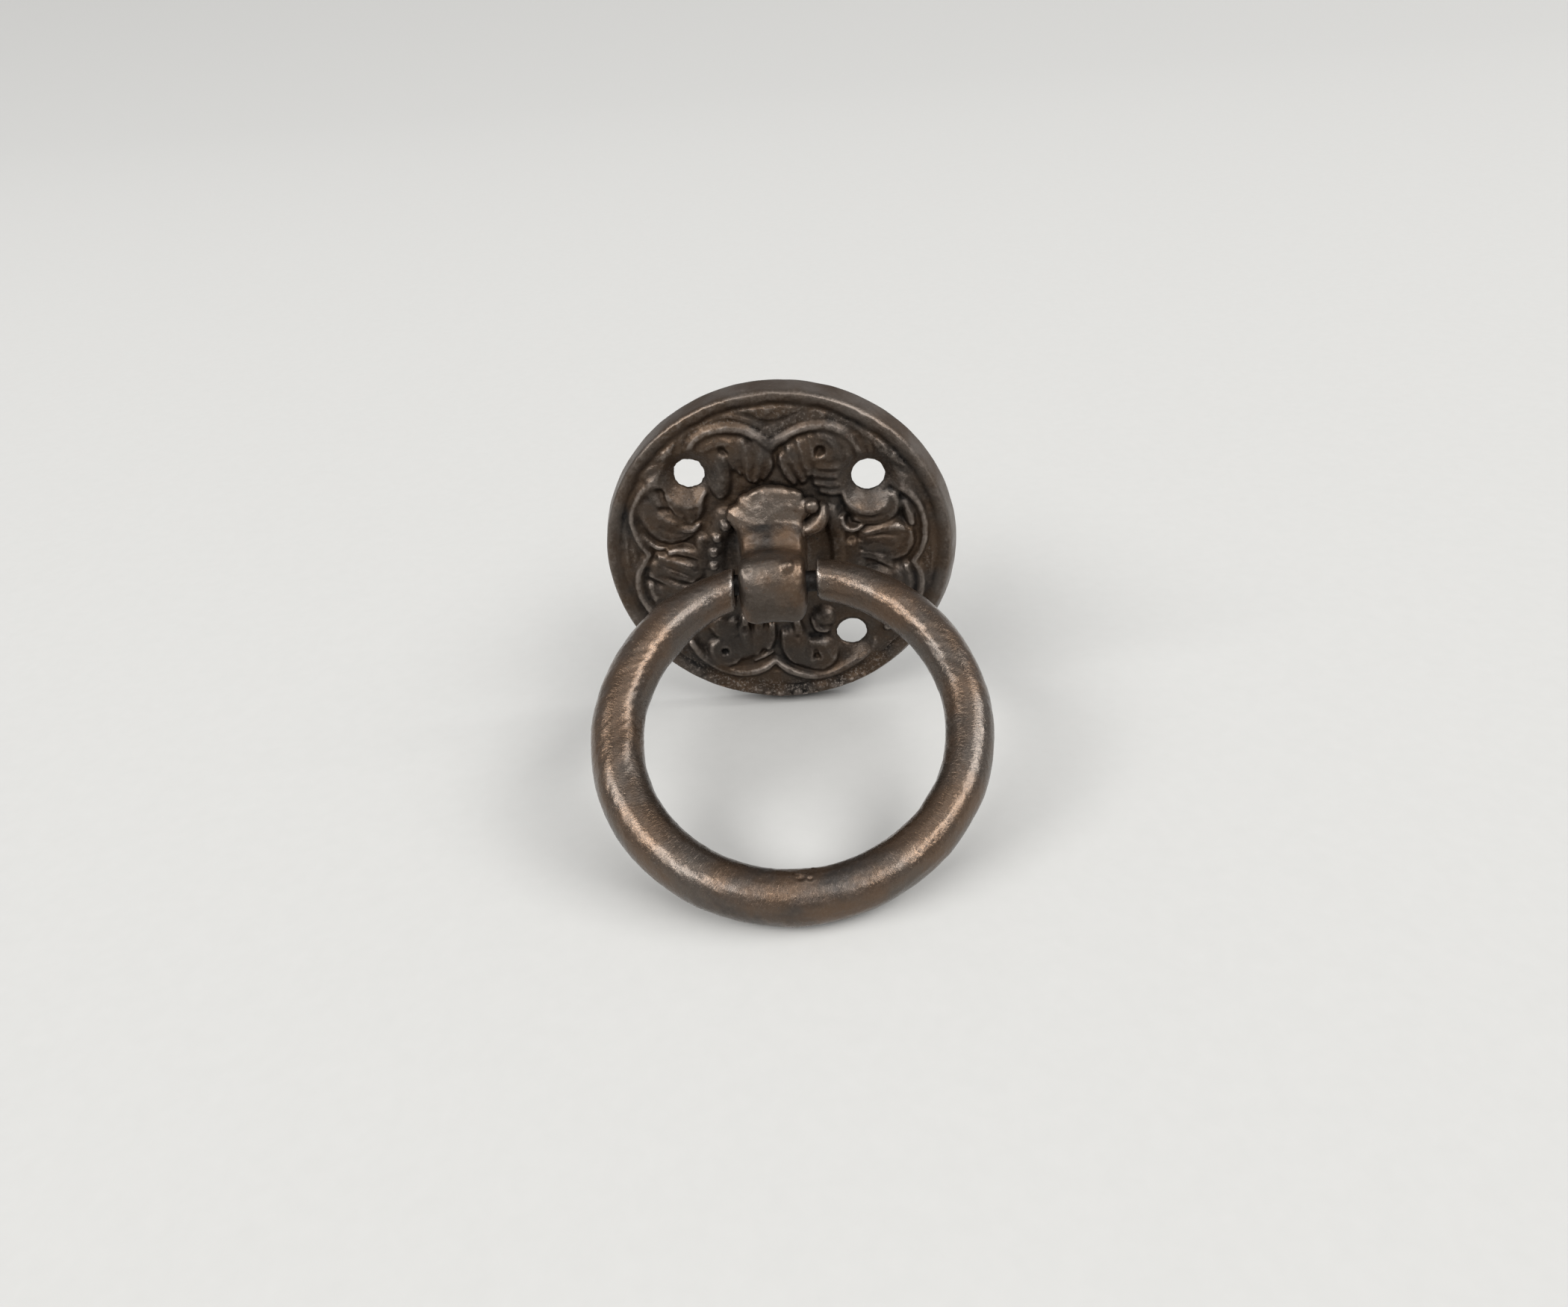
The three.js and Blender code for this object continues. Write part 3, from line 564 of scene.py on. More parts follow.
def front_rings(angle):
    """The plate's front as rings of points from the stem hole out to the rim's crest, with grain, and wear
    with painted shade in its hollows.
    """
    crest_radius = rim_crest(angle)[0]
    inner = np.linspace(STEM_RADIUS + GAP, SEAT_RADIUS, SEAT_RINGS, endpoint=False)
    steps = np.concatenate([inner, np.linspace(SEAT_RADIUS, RIM_CREST, FIELD_RINGS)])[:, None]
    radius = steps + smooth_step(22, RIM_CREST, steps) * (crest_radius - RIM_CREST)
    x = radius * np.cos(angle) + LUG_X * smooth_step(SEAT_RADIUS, 4.5, steps)
    z = radius * np.sin(angle)
    height, grain = plate_relief(x.ravel(), z.ravel())
    height = height.reshape(x.shape)
    grain = grain.reshape(x.shape)
    flat = np.stack([x.ravel(), z.ravel(), 0 * x.ravel()], -1)
    skin = 0.04 * rough(flat, 0.7, 2, 61).reshape(x.shape)
    height = np.where(grain > COARSE_GRAIN, blurred(height, 1), blurred(height, 3)) + skin
    # the rim is rubbed, but for its dark and gritty bottom
    bottom = smooth_step(-0.5, -0.9, np.sin(angle))
    gritty = smooth_step(RIM_CREST - 4.5, RIM_CREST - 2.5, steps) * bottom
    # raised spots rubbed lighter; hollows darkened, patina plus painted shade
    wear_and_shading = np.clip((height - blurred(height, 14)) / 0.45, -1, 1)
    wear_and_shading += 0.12 * smooth_step(RIM_CREST - 1.6, RIM_CREST - 0.6, steps) * (1 - bottom) - 0.35 * gritty
    return np.stack([x, -height, z], -1), grain + gritty, wear_and_shading


def side_rings(angle):
    """Rings of points from the rim's crest down the side wall to the edge of the back, with their wear."""
    crest_radius, crest_height = rim_crest(angle)
    lip_radius = crest_radius + RIM_LIP
    lip_height = crest_height - RIM_LIP
    profile = [(crest_radius + 0.22, crest_height - 0.1)]
    for part in (0.0, 0.12, 0.3, 0.5, 0.7, 0.9, 1.0):
        radius = lip_radius + (PLATE_RADIUS - lip_radius) * part**0.8
        profile.append((radius, lip_height * (1 - part) + 0.3 * part))
    profile.append((PLATE_RADIUS - 0.25 + 0 * angle, 0 * angle))
    rings = []
    wears = []
    for radius, height in profile:
        points = ring_of_points(radius, height, angle)
        wobble = 0.05 * rough(points, 3.0, 2, 60)
        points[:, 0] += wobble * np.cos(angle)
        points[:, 2] += wobble * np.sin(angle)
        rings.append(points)
        wears.append(0.16 + 0.2 * smooth_step(lip_height.mean() - 0.4, crest_height.mean(), height))
    return rings, wears


def open_screw_holes(shell, front_count):
    """Drops the front's faces inside each hole, rounds the edge left and runs a wall to the hollow back."""
    points = shell.points()
    flat = points[:, [0, 2]]
    faces = np.array(shell.faces)
    on_front = faces.max(axis=1) < front_count
    middle = flat[faces].mean(axis=1)
    keep = np.ones(len(faces), bool)
    for bearing, distance, hole_radius in SCREW_HOLES:
        away = np.hypot(*(middle - hole_centre(bearing, distance)).T)
        keep &= ~(on_front & (away < hole_radius))
    shell.faces = faces[keep].tolist()
    # the front's open edges, in an order that is the same on each run
    edges = {}
    for face in faces[keep & on_front].tolist():
        for start, end in zip(face, face[1:] + face[:1]):
            edges[start, end] = True
    open_next = {start: end for start, end in edges if (end, start) not in edges}
    loops = []
    for index, (bearing, distance, hole_radius) in enumerate(SCREW_HOLES):
        centre = hole_centre(bearing, distance)
        near = np.hypot(*(flat - centre).T) < hole_radius + 1.2
        loop = [next(number for number in open_next if near[number])]
        while open_next[loop[-1]] != loop[0]:
            loop.append(open_next[loop[-1]])
        offset = flat[loop] - centre
        turn = np.unwrap(np.arctan2(offset[:, 1], offset[:, 0]))
        full_turn = math.copysign(2 * math.pi, turn[-1] - turn[0])
        even = turn[0] + full_turn * np.arange(len(loop)) / len(loop)
        turn = (turn + even) / 2  # keeps the edge's points in order
        jag = np.stack([3 * np.cos(turn), 3 * np.sin(turn), 0 * turn + 9 * index], -1)
        edge_radius = hole_radius + 0.1 * rough(jag, 0.7, 3, 70) - 0.03
        points[loop, 0] = centre[0] + edge_radius * np.cos(turn)
        points[loop, 2] = centre[1] + edge_radius * np.sin(turn)
        points[loop, 1] = -THROAT_HEIGHT - 0.06 * rough(jag, 0.7, 2, 71)
        back = points[loop]
        back[:, 1] = -HOLLOW_HEIGHT
        loops.append(shell.add(back))
        shell.join(loop[::-1], loops[-1][::-1])
    return loops


def floor_hollow(shell, borders):
    """Triangles over the hollow's flat floor, between its outer edge, the boss and the screw holes."""
    points = shell.points()
    numbers = np.concatenate(borders)
    outline = [Vector((points[i, 0], points[i, 2])) for i in numbers]
    edges = []
    for loop in borders:
        begin = len(edges)
        edges.extend((begin + k, begin + (k + 1) % len(loop)) for k in range(len(loop)))
    flat, _, triangles, origin, _, _ = delaunay_2d_cdt(outline, edges, [], 0, 1e-7)
    x, z = np.array([sum((flat[k] for k in triangle), Vector((0, 0))) / 3 for triangle in triangles]).T
    away = np.hypot(x, z)
    metal = (away > HOLLOW_INNER) & (away < HOLLOW_OUTER)
    for loop in borders[2:]:
        metal &= ~inside_outline(x, z, points[loop][:, [0, 2]])
    for triangle, is_metal in zip(triangles, metal):
        if is_metal:
            shell.faces.append([numbers[origin[k][0]] for k in triangle])


def plate_mesh():
    """The whole plate as one closed mesh, and its per-vertex grain, and wear with painted shade in its
    hollows.
    """
    angle = np.linspace(0, 2 * math.pi, PLATE_SPOKES, endpoint=False)
    front, front_grain, front_wear_and_shading = front_rings(angle)
    sides, side_wear = side_rings(angle)
    hollow_edge = [(HOLLOW_OUTER + 0.8, 0.0), (HOLLOW_OUTER, HOLLOW_HEIGHT)]
    back = [ring_of_points(radius, height, angle) for radius, height in hollow_edge]
    shell = Shell()
    loops = [shell.add(ring) for ring in [*front, *sides, *back]]
    for a, b in zip(loops[:-1], loops[1:]):
        shell.join(a, b)
    screw_loops = open_screw_holes(shell, front_grain.size)
    # the stem hole with its countersink, then the boss round it
    centre_rings = [
        (STEM_RADIUS + GAP, HEAD_HEIGHT + GAP, LUG_X),
        (HEAD_RADIUS + GAP, GAP, LUG_X),
        (HEAD_RADIUS + GAP, 0.0, LUG_X),
        (HOLLOW_INNER - 1, 0.0, 0.0),
        (HOLLOW_INNER, HOLLOW_HEIGHT, 0.0),
    ]
    previous = loops[0]
    for radius, height, centre_x in centre_rings:
        loop = shell.add(ring_of_points(radius, height, angle, centre_x))
        shell.join(previous[::-1], loop[::-1])
        previous = loop
    floor_hollow(shell, [loops[-1], previous] + screw_loops)
    grain = np.zeros(shell.total)
    grain[:front_grain.size] = front_grain.ravel()
    wear_and_shading = np.full(shell.total, BACK_WEAR)
    # front and side wear, with painted shade in the front's hollows
    worn = np.concatenate([front_wear_and_shading.ravel()] + side_wear)
    wear_and_shading[:len(worn)] = worn
    return shell.points(), shell.faces, grain, wear_and_shading


# ---- Surfaces from a field -------------------------------------------------------------------------------


def surface_net(values, low, step):
    """Quads round the zero level of a field on a grid; the field is negative inside."""
    inside = values < 0
    cells = tuple(n - 1 for n in values.shape)
    total = np.zeros(cells + (3,))
    count = np.zeros(cells)
    for axis in range(3):
        for first in (0, 1):
            for second in (0, 1):
                start = [0, 0, 0]
                others = [k for k in range(3) if k != axis]
                start[others[0]] = first
                start[others[1]] = second
                end = list(start)
                end[axis] = 1
                a = values[tuple(slice(o, o + n) for o, n in zip(start, cells))]
                b = values[tuple(slice(o, o + n) for o, n in zip(end, cells))]
                crosses = (a < 0) != (b < 0)
                t = np.where(crosses, a / np.where(crosses, a - b, 1), 0)
                for k in range(3):
                    offset = start[k] + (t if k == axis else 0)
                    total[..., k] += np.where(crosses, offset, 0)
                count += crosses
    used = count > 0
    number = np.full(cells, -1)
    number[used] = np.arange(used.sum())
    corner = np.argwhere(used)
    verts = (corner + total[used] / count[used][:, None]) * step + np.array(low)
    faces = []
    for axis in range(3):
        others = [k for k in range(3) if k != axis]
        span = [slice(1, n - 1) for n in values.shape]
        span[axis] = slice(0, values.shape[axis] - 1)
        ahead = list(span)
        ahead[axis] = slice(1, values.shape[axis])
        crosses = inside[tuple(span)] != inside[tuple(ahead)]
        at = np.argwhere(crosses)
        for k in others:
            at[:, k] += 1
        flip = inside[tuple(at.T)]
        ring = []
        for da, db in ((0, 0), (-1, 0), (-1, -1), (0, -1)):
            cell = at.copy()
            cell[:, others[0]] += da
            cell[:, others[1]] += db
            ring.append(number[tuple(cell.T)])
        quads = np.stack(ring, -1)
        if axis == 1:
            flip = ~flip
        quads = np.where(flip[:, None], quads, quads[:, ::-1])
        faces.append(quads)
    return verts, np.vstack(faces)


def blend_max(a, b, soft):
    """The larger of two fields, with the corner between them rounded."""
    share = np.clip(0.5 + 0.5 * (a - b) / soft, 0, 1)
    return b + (a - b) * share + soft * share * (1 - share)


def blend_min(a, b, soft):
    return -blend_max(-a, -b, soft)


def ball(away, radius):
    """Signed distance to a ball, or to an ellipsoid, from the three offsets to its middle."""
    return np.sqrt(away[0] ** 2 + away[1] ** 2 + away[2] ** 2) - radius


# ---- Ring lug --------------------------------------------------------------------------------------------

# The flange's outline, (x, z) in the ornament's axes.
FLANGE_OUTLINE = [
    (-10.7, 9.4), (-10.4, 10.9), (-8.7, 11.8), (-8.2, 13), (-6.7, 13.9), (-5, 15), (-2.5, 15.6),
    (0.5, 15.3), (3, 14.6), (4.1, 13.9), (4.5, 12.9), (5.4, 13.1), (6.6, 12.7), (7.1, 11.8), (6.6, 10.7),
    (5.2, 9.8), (3.1, 9.3), (3.4, 8.2), (4.2, 6.4), (4.6, 4), (4.6, 1), (4.4, -2), (3.8, -6), (2.6, -9.6),
    (0.6, -11.2), (-1.6, -11.4), (-4.2, -10.2), (-6.2, -7), (-7, -3), (-7.4, 1), (-7.8, 4), (-8.6, 6),
    (-10, 7.8),
]
FOOT = BOSS_HEIGHT + GAP + 0.9
# The neck and knuckle from the side: (height, z).
LUG_SIDE = [
    (FOOT - 1.5, 10.4), (FOOT + 1, 9.4), (FOOT + 2.3, 7.4), (PIN_OUT - 5.3, 5.9), (PIN_OUT - 4.1, 5.3),
    (PIN_OUT - 2.6, 5.45), (PIN_OUT - 1, 5.95), (PIN_OUT + 0.7, 6.25), (PIN_OUT + 2.3, 6.0),
    (PIN_OUT + 3.7, 5.0), (PIN_OUT + 4.9, 3.3), (PIN_OUT + 5.8, 1), (PIN_OUT + 6.2, -2.4),
    (PIN_OUT + 5.2, -5.4), (PIN_OUT + 2.8, -6.9), (PIN_OUT + 0.4, -7.3), (PIN_OUT - 2.2, -6.9),
    (FOOT + 3.2, -6.2), (FOOT + 0.6, -7.6), (FOOT - 1.5, -8.8),
]
# The small petal under the flange's notch: (x, z, half width, height above the door).
PETAL = [
    (3.2, 6.9, 1.2, 5.2), (5.4, 6.9, 1.6, 5.4), (7, 7.9, 1.8, 5.4), (7.9, 9.6, 1.5, 5.2),
    (8.1, 11.2, 0.9, 4.8),
]
PETAL_FLATNESS = 0.55
PETAL_BOTTOM = 2.8
KNUCKLE_SHIFT = 0.5  # the knuckle leans this far to the left of its stem
KNUCKLE_EXTRA = 0.65
KNUCKLE_UNDER = 7.35
KNUCKLE_FRONT = PIN_OUT + 6.35
UNDER_CORNER = 5.4
FRONT_CORNER = 2.6
FLANGE_EDGE_HEIGHT = 5.15
FLANGE_BOTTOM = 3.85
LUG_STEP = 0.22
LUG_LOW = (-12.0, -0.7, -13.4)
LUG_HIGH = (10.4, 21.6, 17.0)


def knuckle_field(x, h, z, spot):
    """The neck and the knuckle: the side profile at the lug's width, its lower and front edges rounded."""
    across = x - LUG_X + KNUCKLE_SHIFT
    crown = 0.03 * across**2
    profile = to_outline(h, z + crown, spline(LUG_SIDE, 6, closed=True))
    bulge = 0.225 * np.sin(np.clip((h - 9) / 12, 0, 1) * math.pi)
    half = LUG_HALF + KNUCKLE_EXTRA + bulge - 0.03 * np.clip(z, -8, 6)
    over_x = np.maximum(np.abs(across) - (half - UNDER_CORNER), 0)
    over_z = np.maximum(-z - (KNUCKLE_UNDER - UNDER_CORNER), 0)
    under = np.hypot(over_x, over_z) - UNDER_CORNER
    over_x = np.maximum(np.abs(across) - (half - FRONT_CORNER), 0)
    over_h = np.maximum(h + crown - (KNUCKLE_FRONT - FRONT_CORNER), 0)
    front = np.hypot(over_x, over_h) - FRONT_CORNER
    knuckle = blend_max(blend_max(profile, under, 1.5), front, 1.3)
    return knuckle + 0.07 * rough(spot, 0.95, 2, 80) + 0.05 * noise(spot, 2.6, 81)


def flange_field(turned_x, h, turned_z, on_door):
    """The domed, ragged flange; on_door holds the points without their height."""
    edge = to_outline(turned_x, turned_z, spline(FLANGE_OUTLINE, 4, closed=True))
    edge = edge + 0.16 * rough(on_door, 1.1, 2, 82)
    inward = np.clip(-edge, 0, 7)
    dome = FLANGE_EDGE_HEIGHT + 0.42 * inward - 0.014 * inward**2 + 0.11 * rough(on_door, 1.9, 3, 83)
    return np.maximum(blend_max(edge, (h - dome) * 0.9, 1.0), FLANGE_BOTTOM - h)


def petal_field(turned_x, h, turned_z):
    """The dished petal under the flange's notch."""
    petal = np.full(h.shape, FAR)
    for px, pz, half_width, top in spline(PETAL, 4):
        rise = PETAL_FLATNESS * (h - top + half_width * 0.8)
        petal = np.minimum(petal, ball((turned_x - px, turned_z - pz, rise), half_width))
    dish = ball((turned_x - 5.6, turned_z - 8.8, 1.4 * (h - 3.2)), 1.3)
    return np.maximum(blend_min(petal, dish, 0.5), PETAL_BOTTOM - h)


def stem_field(x, h, z, on_door):
    """The stem through the plate, peened over at the back."""
    shank = np.hypot(x - LUG_X, z)
    stem = np.maximum(shank - STEM_RADIUS, h - 5)
    flare = (HEAD_RADIUS - STEM_RADIUS) * np.clip((h - GAP) / HEAD_HEIGHT, 0, 1)
    head = np.maximum(shank - (HEAD_RADIUS - flare), h - HEAD_HEIGHT)
    peening = 0.02 * shank**2 + 0.12 * rough(on_door, 1.8, 2, 84) - h + 0.05
    return np.maximum(np.minimum(stem, head), peening)


def lug_field(x, h, z):
    """Signed distance, roughly, to the lug; h is the height above the door."""
    spot = np.stack([x, h, z], -1)
    on_door = np.stack([x, 0 * h, z], -1)
    turned_x, turned_z = ornament_axes(x, z)
    flange = flange_field(turned_x, h, turned_z, on_door)
    body = blend_min(knuckle_field(x, h, z, spot), flange, 2.4)
    body = blend_min(body, petal_field(turned_x, h, turned_z), 0.3)
    pimple = ball((x - 1.7, h - 17.3, z - 4.9), 1.15)
    body = blend_min(body, pimple, 0.8)
    knob = ball((turned_x - 5.9, 1.2 * (h - 5.9), turned_z - 11.9), 1.35)
    body = blend_min(body, knob, 0.35)
    body = np.minimum(body, stem_field(x, h, z, on_door))
    bore = PIN_RADIUS + GAP - np.hypot(h - PIN_OUT, z)
    return np.maximum(body, bore)


def lug_mesh():
    """The lug's points and faces, from its field."""
    counts = [int(math.ceil((b - a) / LUG_STEP)) + 1 for a, b in zip(LUG_LOW, LUG_HIGH)]
    xs, hs, zs = [low + LUG_STEP * np.arange(n) for low, n in zip(LUG_LOW, counts)]
    h, z = np.meshgrid(hs, zs, indexing="ij")
    values = np.zeros(counts)
    for i, x_here in enumerate(xs):
        values[i] = lug_field(np.full(h.size, x_here), h.ravel(), z.ravel()).reshape(h.shape)
    verts, faces = surface_net(values, LUG_LOW, LUG_STEP)
    return np.stack([verts[:, 0], -verts[:, 1], verts[:, 2]], -1), faces


def lug_marks(points, faces):
    """The lug's per-vertex numbers: rubbed where it stands proud, hollows darkened with patina plus painted
    shade, rubbing plus a painted highlight on its shoulder, painted shade in its neck.
    """
    height = -points[:, 1]
    on_flange = smooth_step(8.0, 6.9, height) * smooth_step(4.6, 5.2, height)
    # painted shade: the concave neck is darkened in its colour
    neck_painted_shade = smooth_step(6.6, 7.4, height) * smooth_step(13.2, 10.2, height)
    neck_painted_shade = neck_painted_shade * smooth_step(9.6, 8.4, points[:, 2])
    # painted highlight on the knuckle's top shoulder, along with rubbing
    shoulder_rub_and_highlight = smooth_step(1.0, 3.5, points[:, 2]) * smooth_step(15.4, 16.8, height)
    proud = np.clip(curvature(points, faces, WEAR_PASSES) / LUG_PROUD, -1, 1)
    wear_and_shading = proud - 0.9 * neck_painted_shade + 0.15 * on_flange + 0.3 * shoulder_rub_and_highlight
    return {"grain": 0.3 * on_flange + 0.12, "wear_and_shading": wear_and_shading, "polish": 0.15 * on_flange}


# ---- Pull ring and its pin, in the ring's own plane, the hinge axis on X ---------------------------------

RING_STEPS = 640
RING_ROUND = 124
RIGHT_CUT = LUG_X + RING_HALF_GAP - RING_X
LEFT_CUT = -(LUG_X - RING_HALF_GAP - RING_X)
SOCKET_RADIUS = PIN_RADIUS + GAP
SOCKET_DEPTH = PIN_HALF + GAP - RING_HALF_GAP
END_ROUNDING = 0.38
STREAK_LENGTH = 5.5
SAG = 0.55  # the ring is this much flatter at its bottom
# bearing round the ring from its gap, angle round the bar, radius and depth of each casting pit
CAST_PITS = [
    (math.pi - 0.035, 2.02, 1.15, 0.3), (math.pi - 0.085, 1.93, 0.7, 0.32), (math.pi - 0.01, 2.16, 0.55, 0.3),
    (math.pi - 0.11, 2.55, 0.5, 0.2), (math.pi + 0.9, 1.3, 0.35, 0.14), (math.pi + 0.75, 1.5, 0.3, 0.12),
    (math.pi + 1.4, 1.1, 0.3, 0.12), (math.pi - 1.3, 1.7, 0.35, 0.12), (math.pi - 2.1, 1.2, 0.4, 0.15),
]


def bar_thickness(bearing, around, from_end):
    """The bar's radius at each point of its grid: tapered to its ends, uneven, rough and pitted."""
    middle = bearing.mean(axis=1, keepdims=True)
    low = np.clip(-np.cos(middle), 0, 1)
    tube = RING_END_TUBE + (RING_TUBE - RING_END_TUBE) * smooth_step(0, RING_TAPER, from_end)
    # thinner on the right-hand side and a little thicker at the bottom
    tube = tube * (1 + smooth_step(0, 12, from_end) * (-0.06 - 0.055 * np.sin(middle) + 0.045 * low))
    round_cos = RING_TUBE * np.cos(around) + 0 * bearing
    round_sin = RING_TUBE * np.sin(around) + 0 * bearing
    spot = [RING_RADIUS * np.sin(bearing), round_sin, RING_RADIUS * np.cos(bearing) + round_cos]
    spot = np.stack(spot, -1).reshape(-1, 3)
    # the same places with the bar's length drawn in, so that this noise makes long streaks
    streaky = [RING_RADIUS * middle / STREAK_LENGTH + 0 * bearing, 1.1 * round_cos, 1.1 * round_sin]
    streaky = np.stack(streaky, -1).reshape(-1, 3)
    relief = 0.13 * rough(spot, 6.0, 2, 100) + 0.04 * rough(streaky, 1.4, 2, 101)
    relief = relief + 0.04 * rough(spot, 0.95, 2, 102)
    tube = tube + relief.reshape(bearing.shape) - END_ROUNDING * np.clip(1 - from_end, 0, 1) ** 2
    tube = tube * (1 + 0.012 * np.cos(3 * around + 0.6))
    for pit_bearing, pit_around, radius, depth in CAST_PITS:
        du = (bearing - pit_bearing) * RING_RADIUS
        dv = np.angle(np.exp(1j * (around - pit_around))) * RING_TUBE
        away = np.hypot(du, dv * 1.5) / radius
        raised_edge = 0.35 * depth * np.exp(-((away - 1.1) ** 2) * 9)
        tube = tube - depth * np.exp(-(away**2) * 2.5) + raised_edge
    return tube


def close_end(shell, loop, cut, inward):
    """Squares off one end of the bar at x = cut and sinks a blind socket for the pin in it."""
    centre = np.array([cut, 0, RING_DROP])
    across = np.array([inward, 0, 0])
    bar = shell.points()
    outer = bar[loop]
    outer[:, 0] = cut
    bar[loop] += 0.3 * across
    spoke = outer - centre
    angle = np.arctan2(spoke[:, 2], spoke[:, 1])
    socket = SOCKET_RADIUS * np.stack([0 * angle, np.cos(angle), np.sin(angle)], -1)
    rows = [
        centre + spoke * 0.95,
        centre + spoke * 0.9 + 0.05 * across,
        centre + spoke * 0.4 + socket * 0.6 + 0.12 * across,
        centre + socket * 1.05,
        centre + socket + 0.25 * across,
    ]
    for row in rows:
        row[:, 0] += 0.05 * rough(row, 1.5, 2, 103)
    rows.append(centre + socket + SOCKET_DEPTH * across)
    for row in rows:
        numbers = shell.add(row)
        shell.join(loop, numbers)
        loop = numbers
    shell.close(loop, centre + SOCKET_DEPTH * across)


def ring_mesh():
    """The open ring: a hand-cast bar whose section changes a little, with a blind socket in each square end.

    Its third value is each vertex's place on the bar, for the tooling marks: along the bar, and round it.
    """
    around = np.linspace(0, 2 * math.pi, RING_ROUND, endpoint=False)
    share = np.linspace(0, 1, RING_STEPS)[:, None]
    end_radius = RING_RADIUS + RING_END_TUBE * np.cos(around)
    start = np.arcsin(RIGHT_CUT / end_radius)
    end = 2 * math.pi - np.arcsin(LEFT_CUT / end_radius)
    bearing = start + (end - start) * share
    from_end = np.minimum(share, 1 - share) * RING_RADIUS * (end - start).mean()
    tube = bar_thickness(bearing, around, from_end)
    middle = bearing.mean(axis=1, keepdims=True)
    reach = RING_RADIUS - SAG * np.clip(-np.cos(middle), 0, 1) ** 2 + tube * np.cos(around)
    bar = np.stack([reach * np.sin(bearing), -tube * np.sin(around), reach * np.cos(bearing)], -1)
    shell = Shell()
    loops = [shell.add(row) for row in bar]
    for a, b in zip(loops[:-1], loops[1:]):
        shell.join(a, b)
    close_end(shell, loops[0], RIGHT_CUT, 1)
    close_end(shell, loops[-1], -LEFT_CUT, -1)
    points = shell.points()
    spread = points.copy()
    on_bar = np.broadcast_arrays(RING_RADIUS * middle, RING_TUBE * np.cos(around), RING_TUBE * np.sin(around))
    spread[:bearing.size] = np.stack(on_bar, -1).reshape(-1, 3)
    points[:, 0] += RING_X
    points[:, 2] -= RING_DROP
    return points, shell.faces, spread


def pin_mesh():
    """The hinge pin: a turned rod with chamfered ends, a little worn where the lug rides on it."""
    around = np.linspace(0, 2 * math.pi, 40, endpoint=False)
    chamfer = 0.4
    rows = [(-PIN_HALF, PIN_RADIUS - chamfer), (-PIN_HALF + chamfer, PIN_RADIUS)]
    rows += [(at, PIN_RADIUS - 0.04 * math.exp(-(at / 5.5) ** 6)) for at in np.linspace(-9.8, 9.8, 50)]
    rows += [(PIN_HALF - chamfer, PIN_RADIUS), (PIN_HALF, PIN_RADIUS - chamfer)]
    shell = Shell()
    loops = []
    for at, radius in rows:
        circle = [at + LUG_X + 0 * around, radius * np.cos(around), radius * np.sin(around)]
        loops.append(shell.add(np.stack(circle, -1)))
    for a, b in zip(loops[:-1], loops[1:]):
        shell.join(a, b)
    shell.close(loops[0], (LUG_X - PIN_HALF, 0, 0))
    shell.close(loops[-1], (LUG_X + PIN_HALF, 0, 0))
    return shell.points(), shell.faces


def swung(points):
    """Ring-plane points, hinge axis at the origin, turned out to the rest pose."""
    c, s = math.cos(-REST_SWING), math.sin(-REST_SWING)
    out = points.copy()
    out[:, 1] = points[:, 1] * c - points[:, 2] * s - PIN_OUT
    out[:, 2] = points[:, 1] * s + points[:, 2] * c
    return out


# ---- Blender objects -------------------------------------------------------------------------------------

WEAR_PASSES = 12
LUG_PROUD = 0.5
BAR_PROUD = 0.16
END_FACE_PAINTED_SHADE = -0.8


def make_object(name, points, faces, attributes=None):
    """A mesh object in metres with outward normals, smooth shading and named per-vertex numbers."""
    mesh = bpy.data.meshes.new(name)
    mesh.from_pydata((np.asarray(points) * MM).tolist(), [], [tuple(int(v) for v in face) for face in faces])
    mesh.update()
    editable = bmesh.new()
    editable.from_mesh(mesh)
    bmesh.ops.recalc_face_normals(editable, faces=editable.faces)
    editable.to_mesh(mesh)
    editable.free()
    mesh.polygons.foreach_set("use_smooth", [True] * len(mesh.polygons))
    for key, values in (attributes or {}).items():
        layer = mesh.attributes.new(key, "FLOAT", "POINT")
        layer.data.foreach_set("value", np.asarray(values, np.float32))
    mesh.update()
    made = bpy.data.objects.new(name, mesh)
    bpy.context.scene.collection.objects.link(made)
    return made


def sharpen(made, degrees):
    """Keeps the shading crisp across edges steeper than the angle."""
    made.data.set_sharp_from_angle(angle=math.radians(degrees))


def curvature(points, faces, passes):
    """How far each vertex stands proud of its smoothed surroundings, in millimetres."""
    quads = np.array([face if len(face) == 4 else tuple(face) + (face[-1],) for face in faces])
    edges = np.vstack([quads[:, [k, (k + 1) % 4]] for k in range(4)])
    edges = edges[edges[:, 0] != edges[:, 1]]
    count = np.bincount(edges.ravel(), minlength=len(points)).astype(float)
    soft = points.copy()
    for _ in range(passes):
        total = np.zeros_like(soft)
        for k in range(3):
            total[:, k] = np.bincount(edges[:, 0], soft[edges[:, 1], k], len(points))
            total[:, k] += np.bincount(edges[:, 1], soft[edges[:, 0], k], len(points))
        soft = 0.5 * soft + 0.5 * total / np.maximum(count, 1)[:, None]
    offset = points - soft
    normal = np.zeros_like(points)
    a, b, c, d = (points[quads[:, k]] for k in range(4))
    facing = np.cross(c - a, d - b)
    for k in range(4):
        for axis in range(3):
            normal[:, axis] += np.bincount(quads[:, k], facing[:, axis], len(points))
    normal /= np.maximum(np.linalg.norm(normal, axis=1), 1e-9)[:, None]
    return (offset * normal).sum(axis=1)


# ---- Materials -------------------------------------------------------------------------------------------


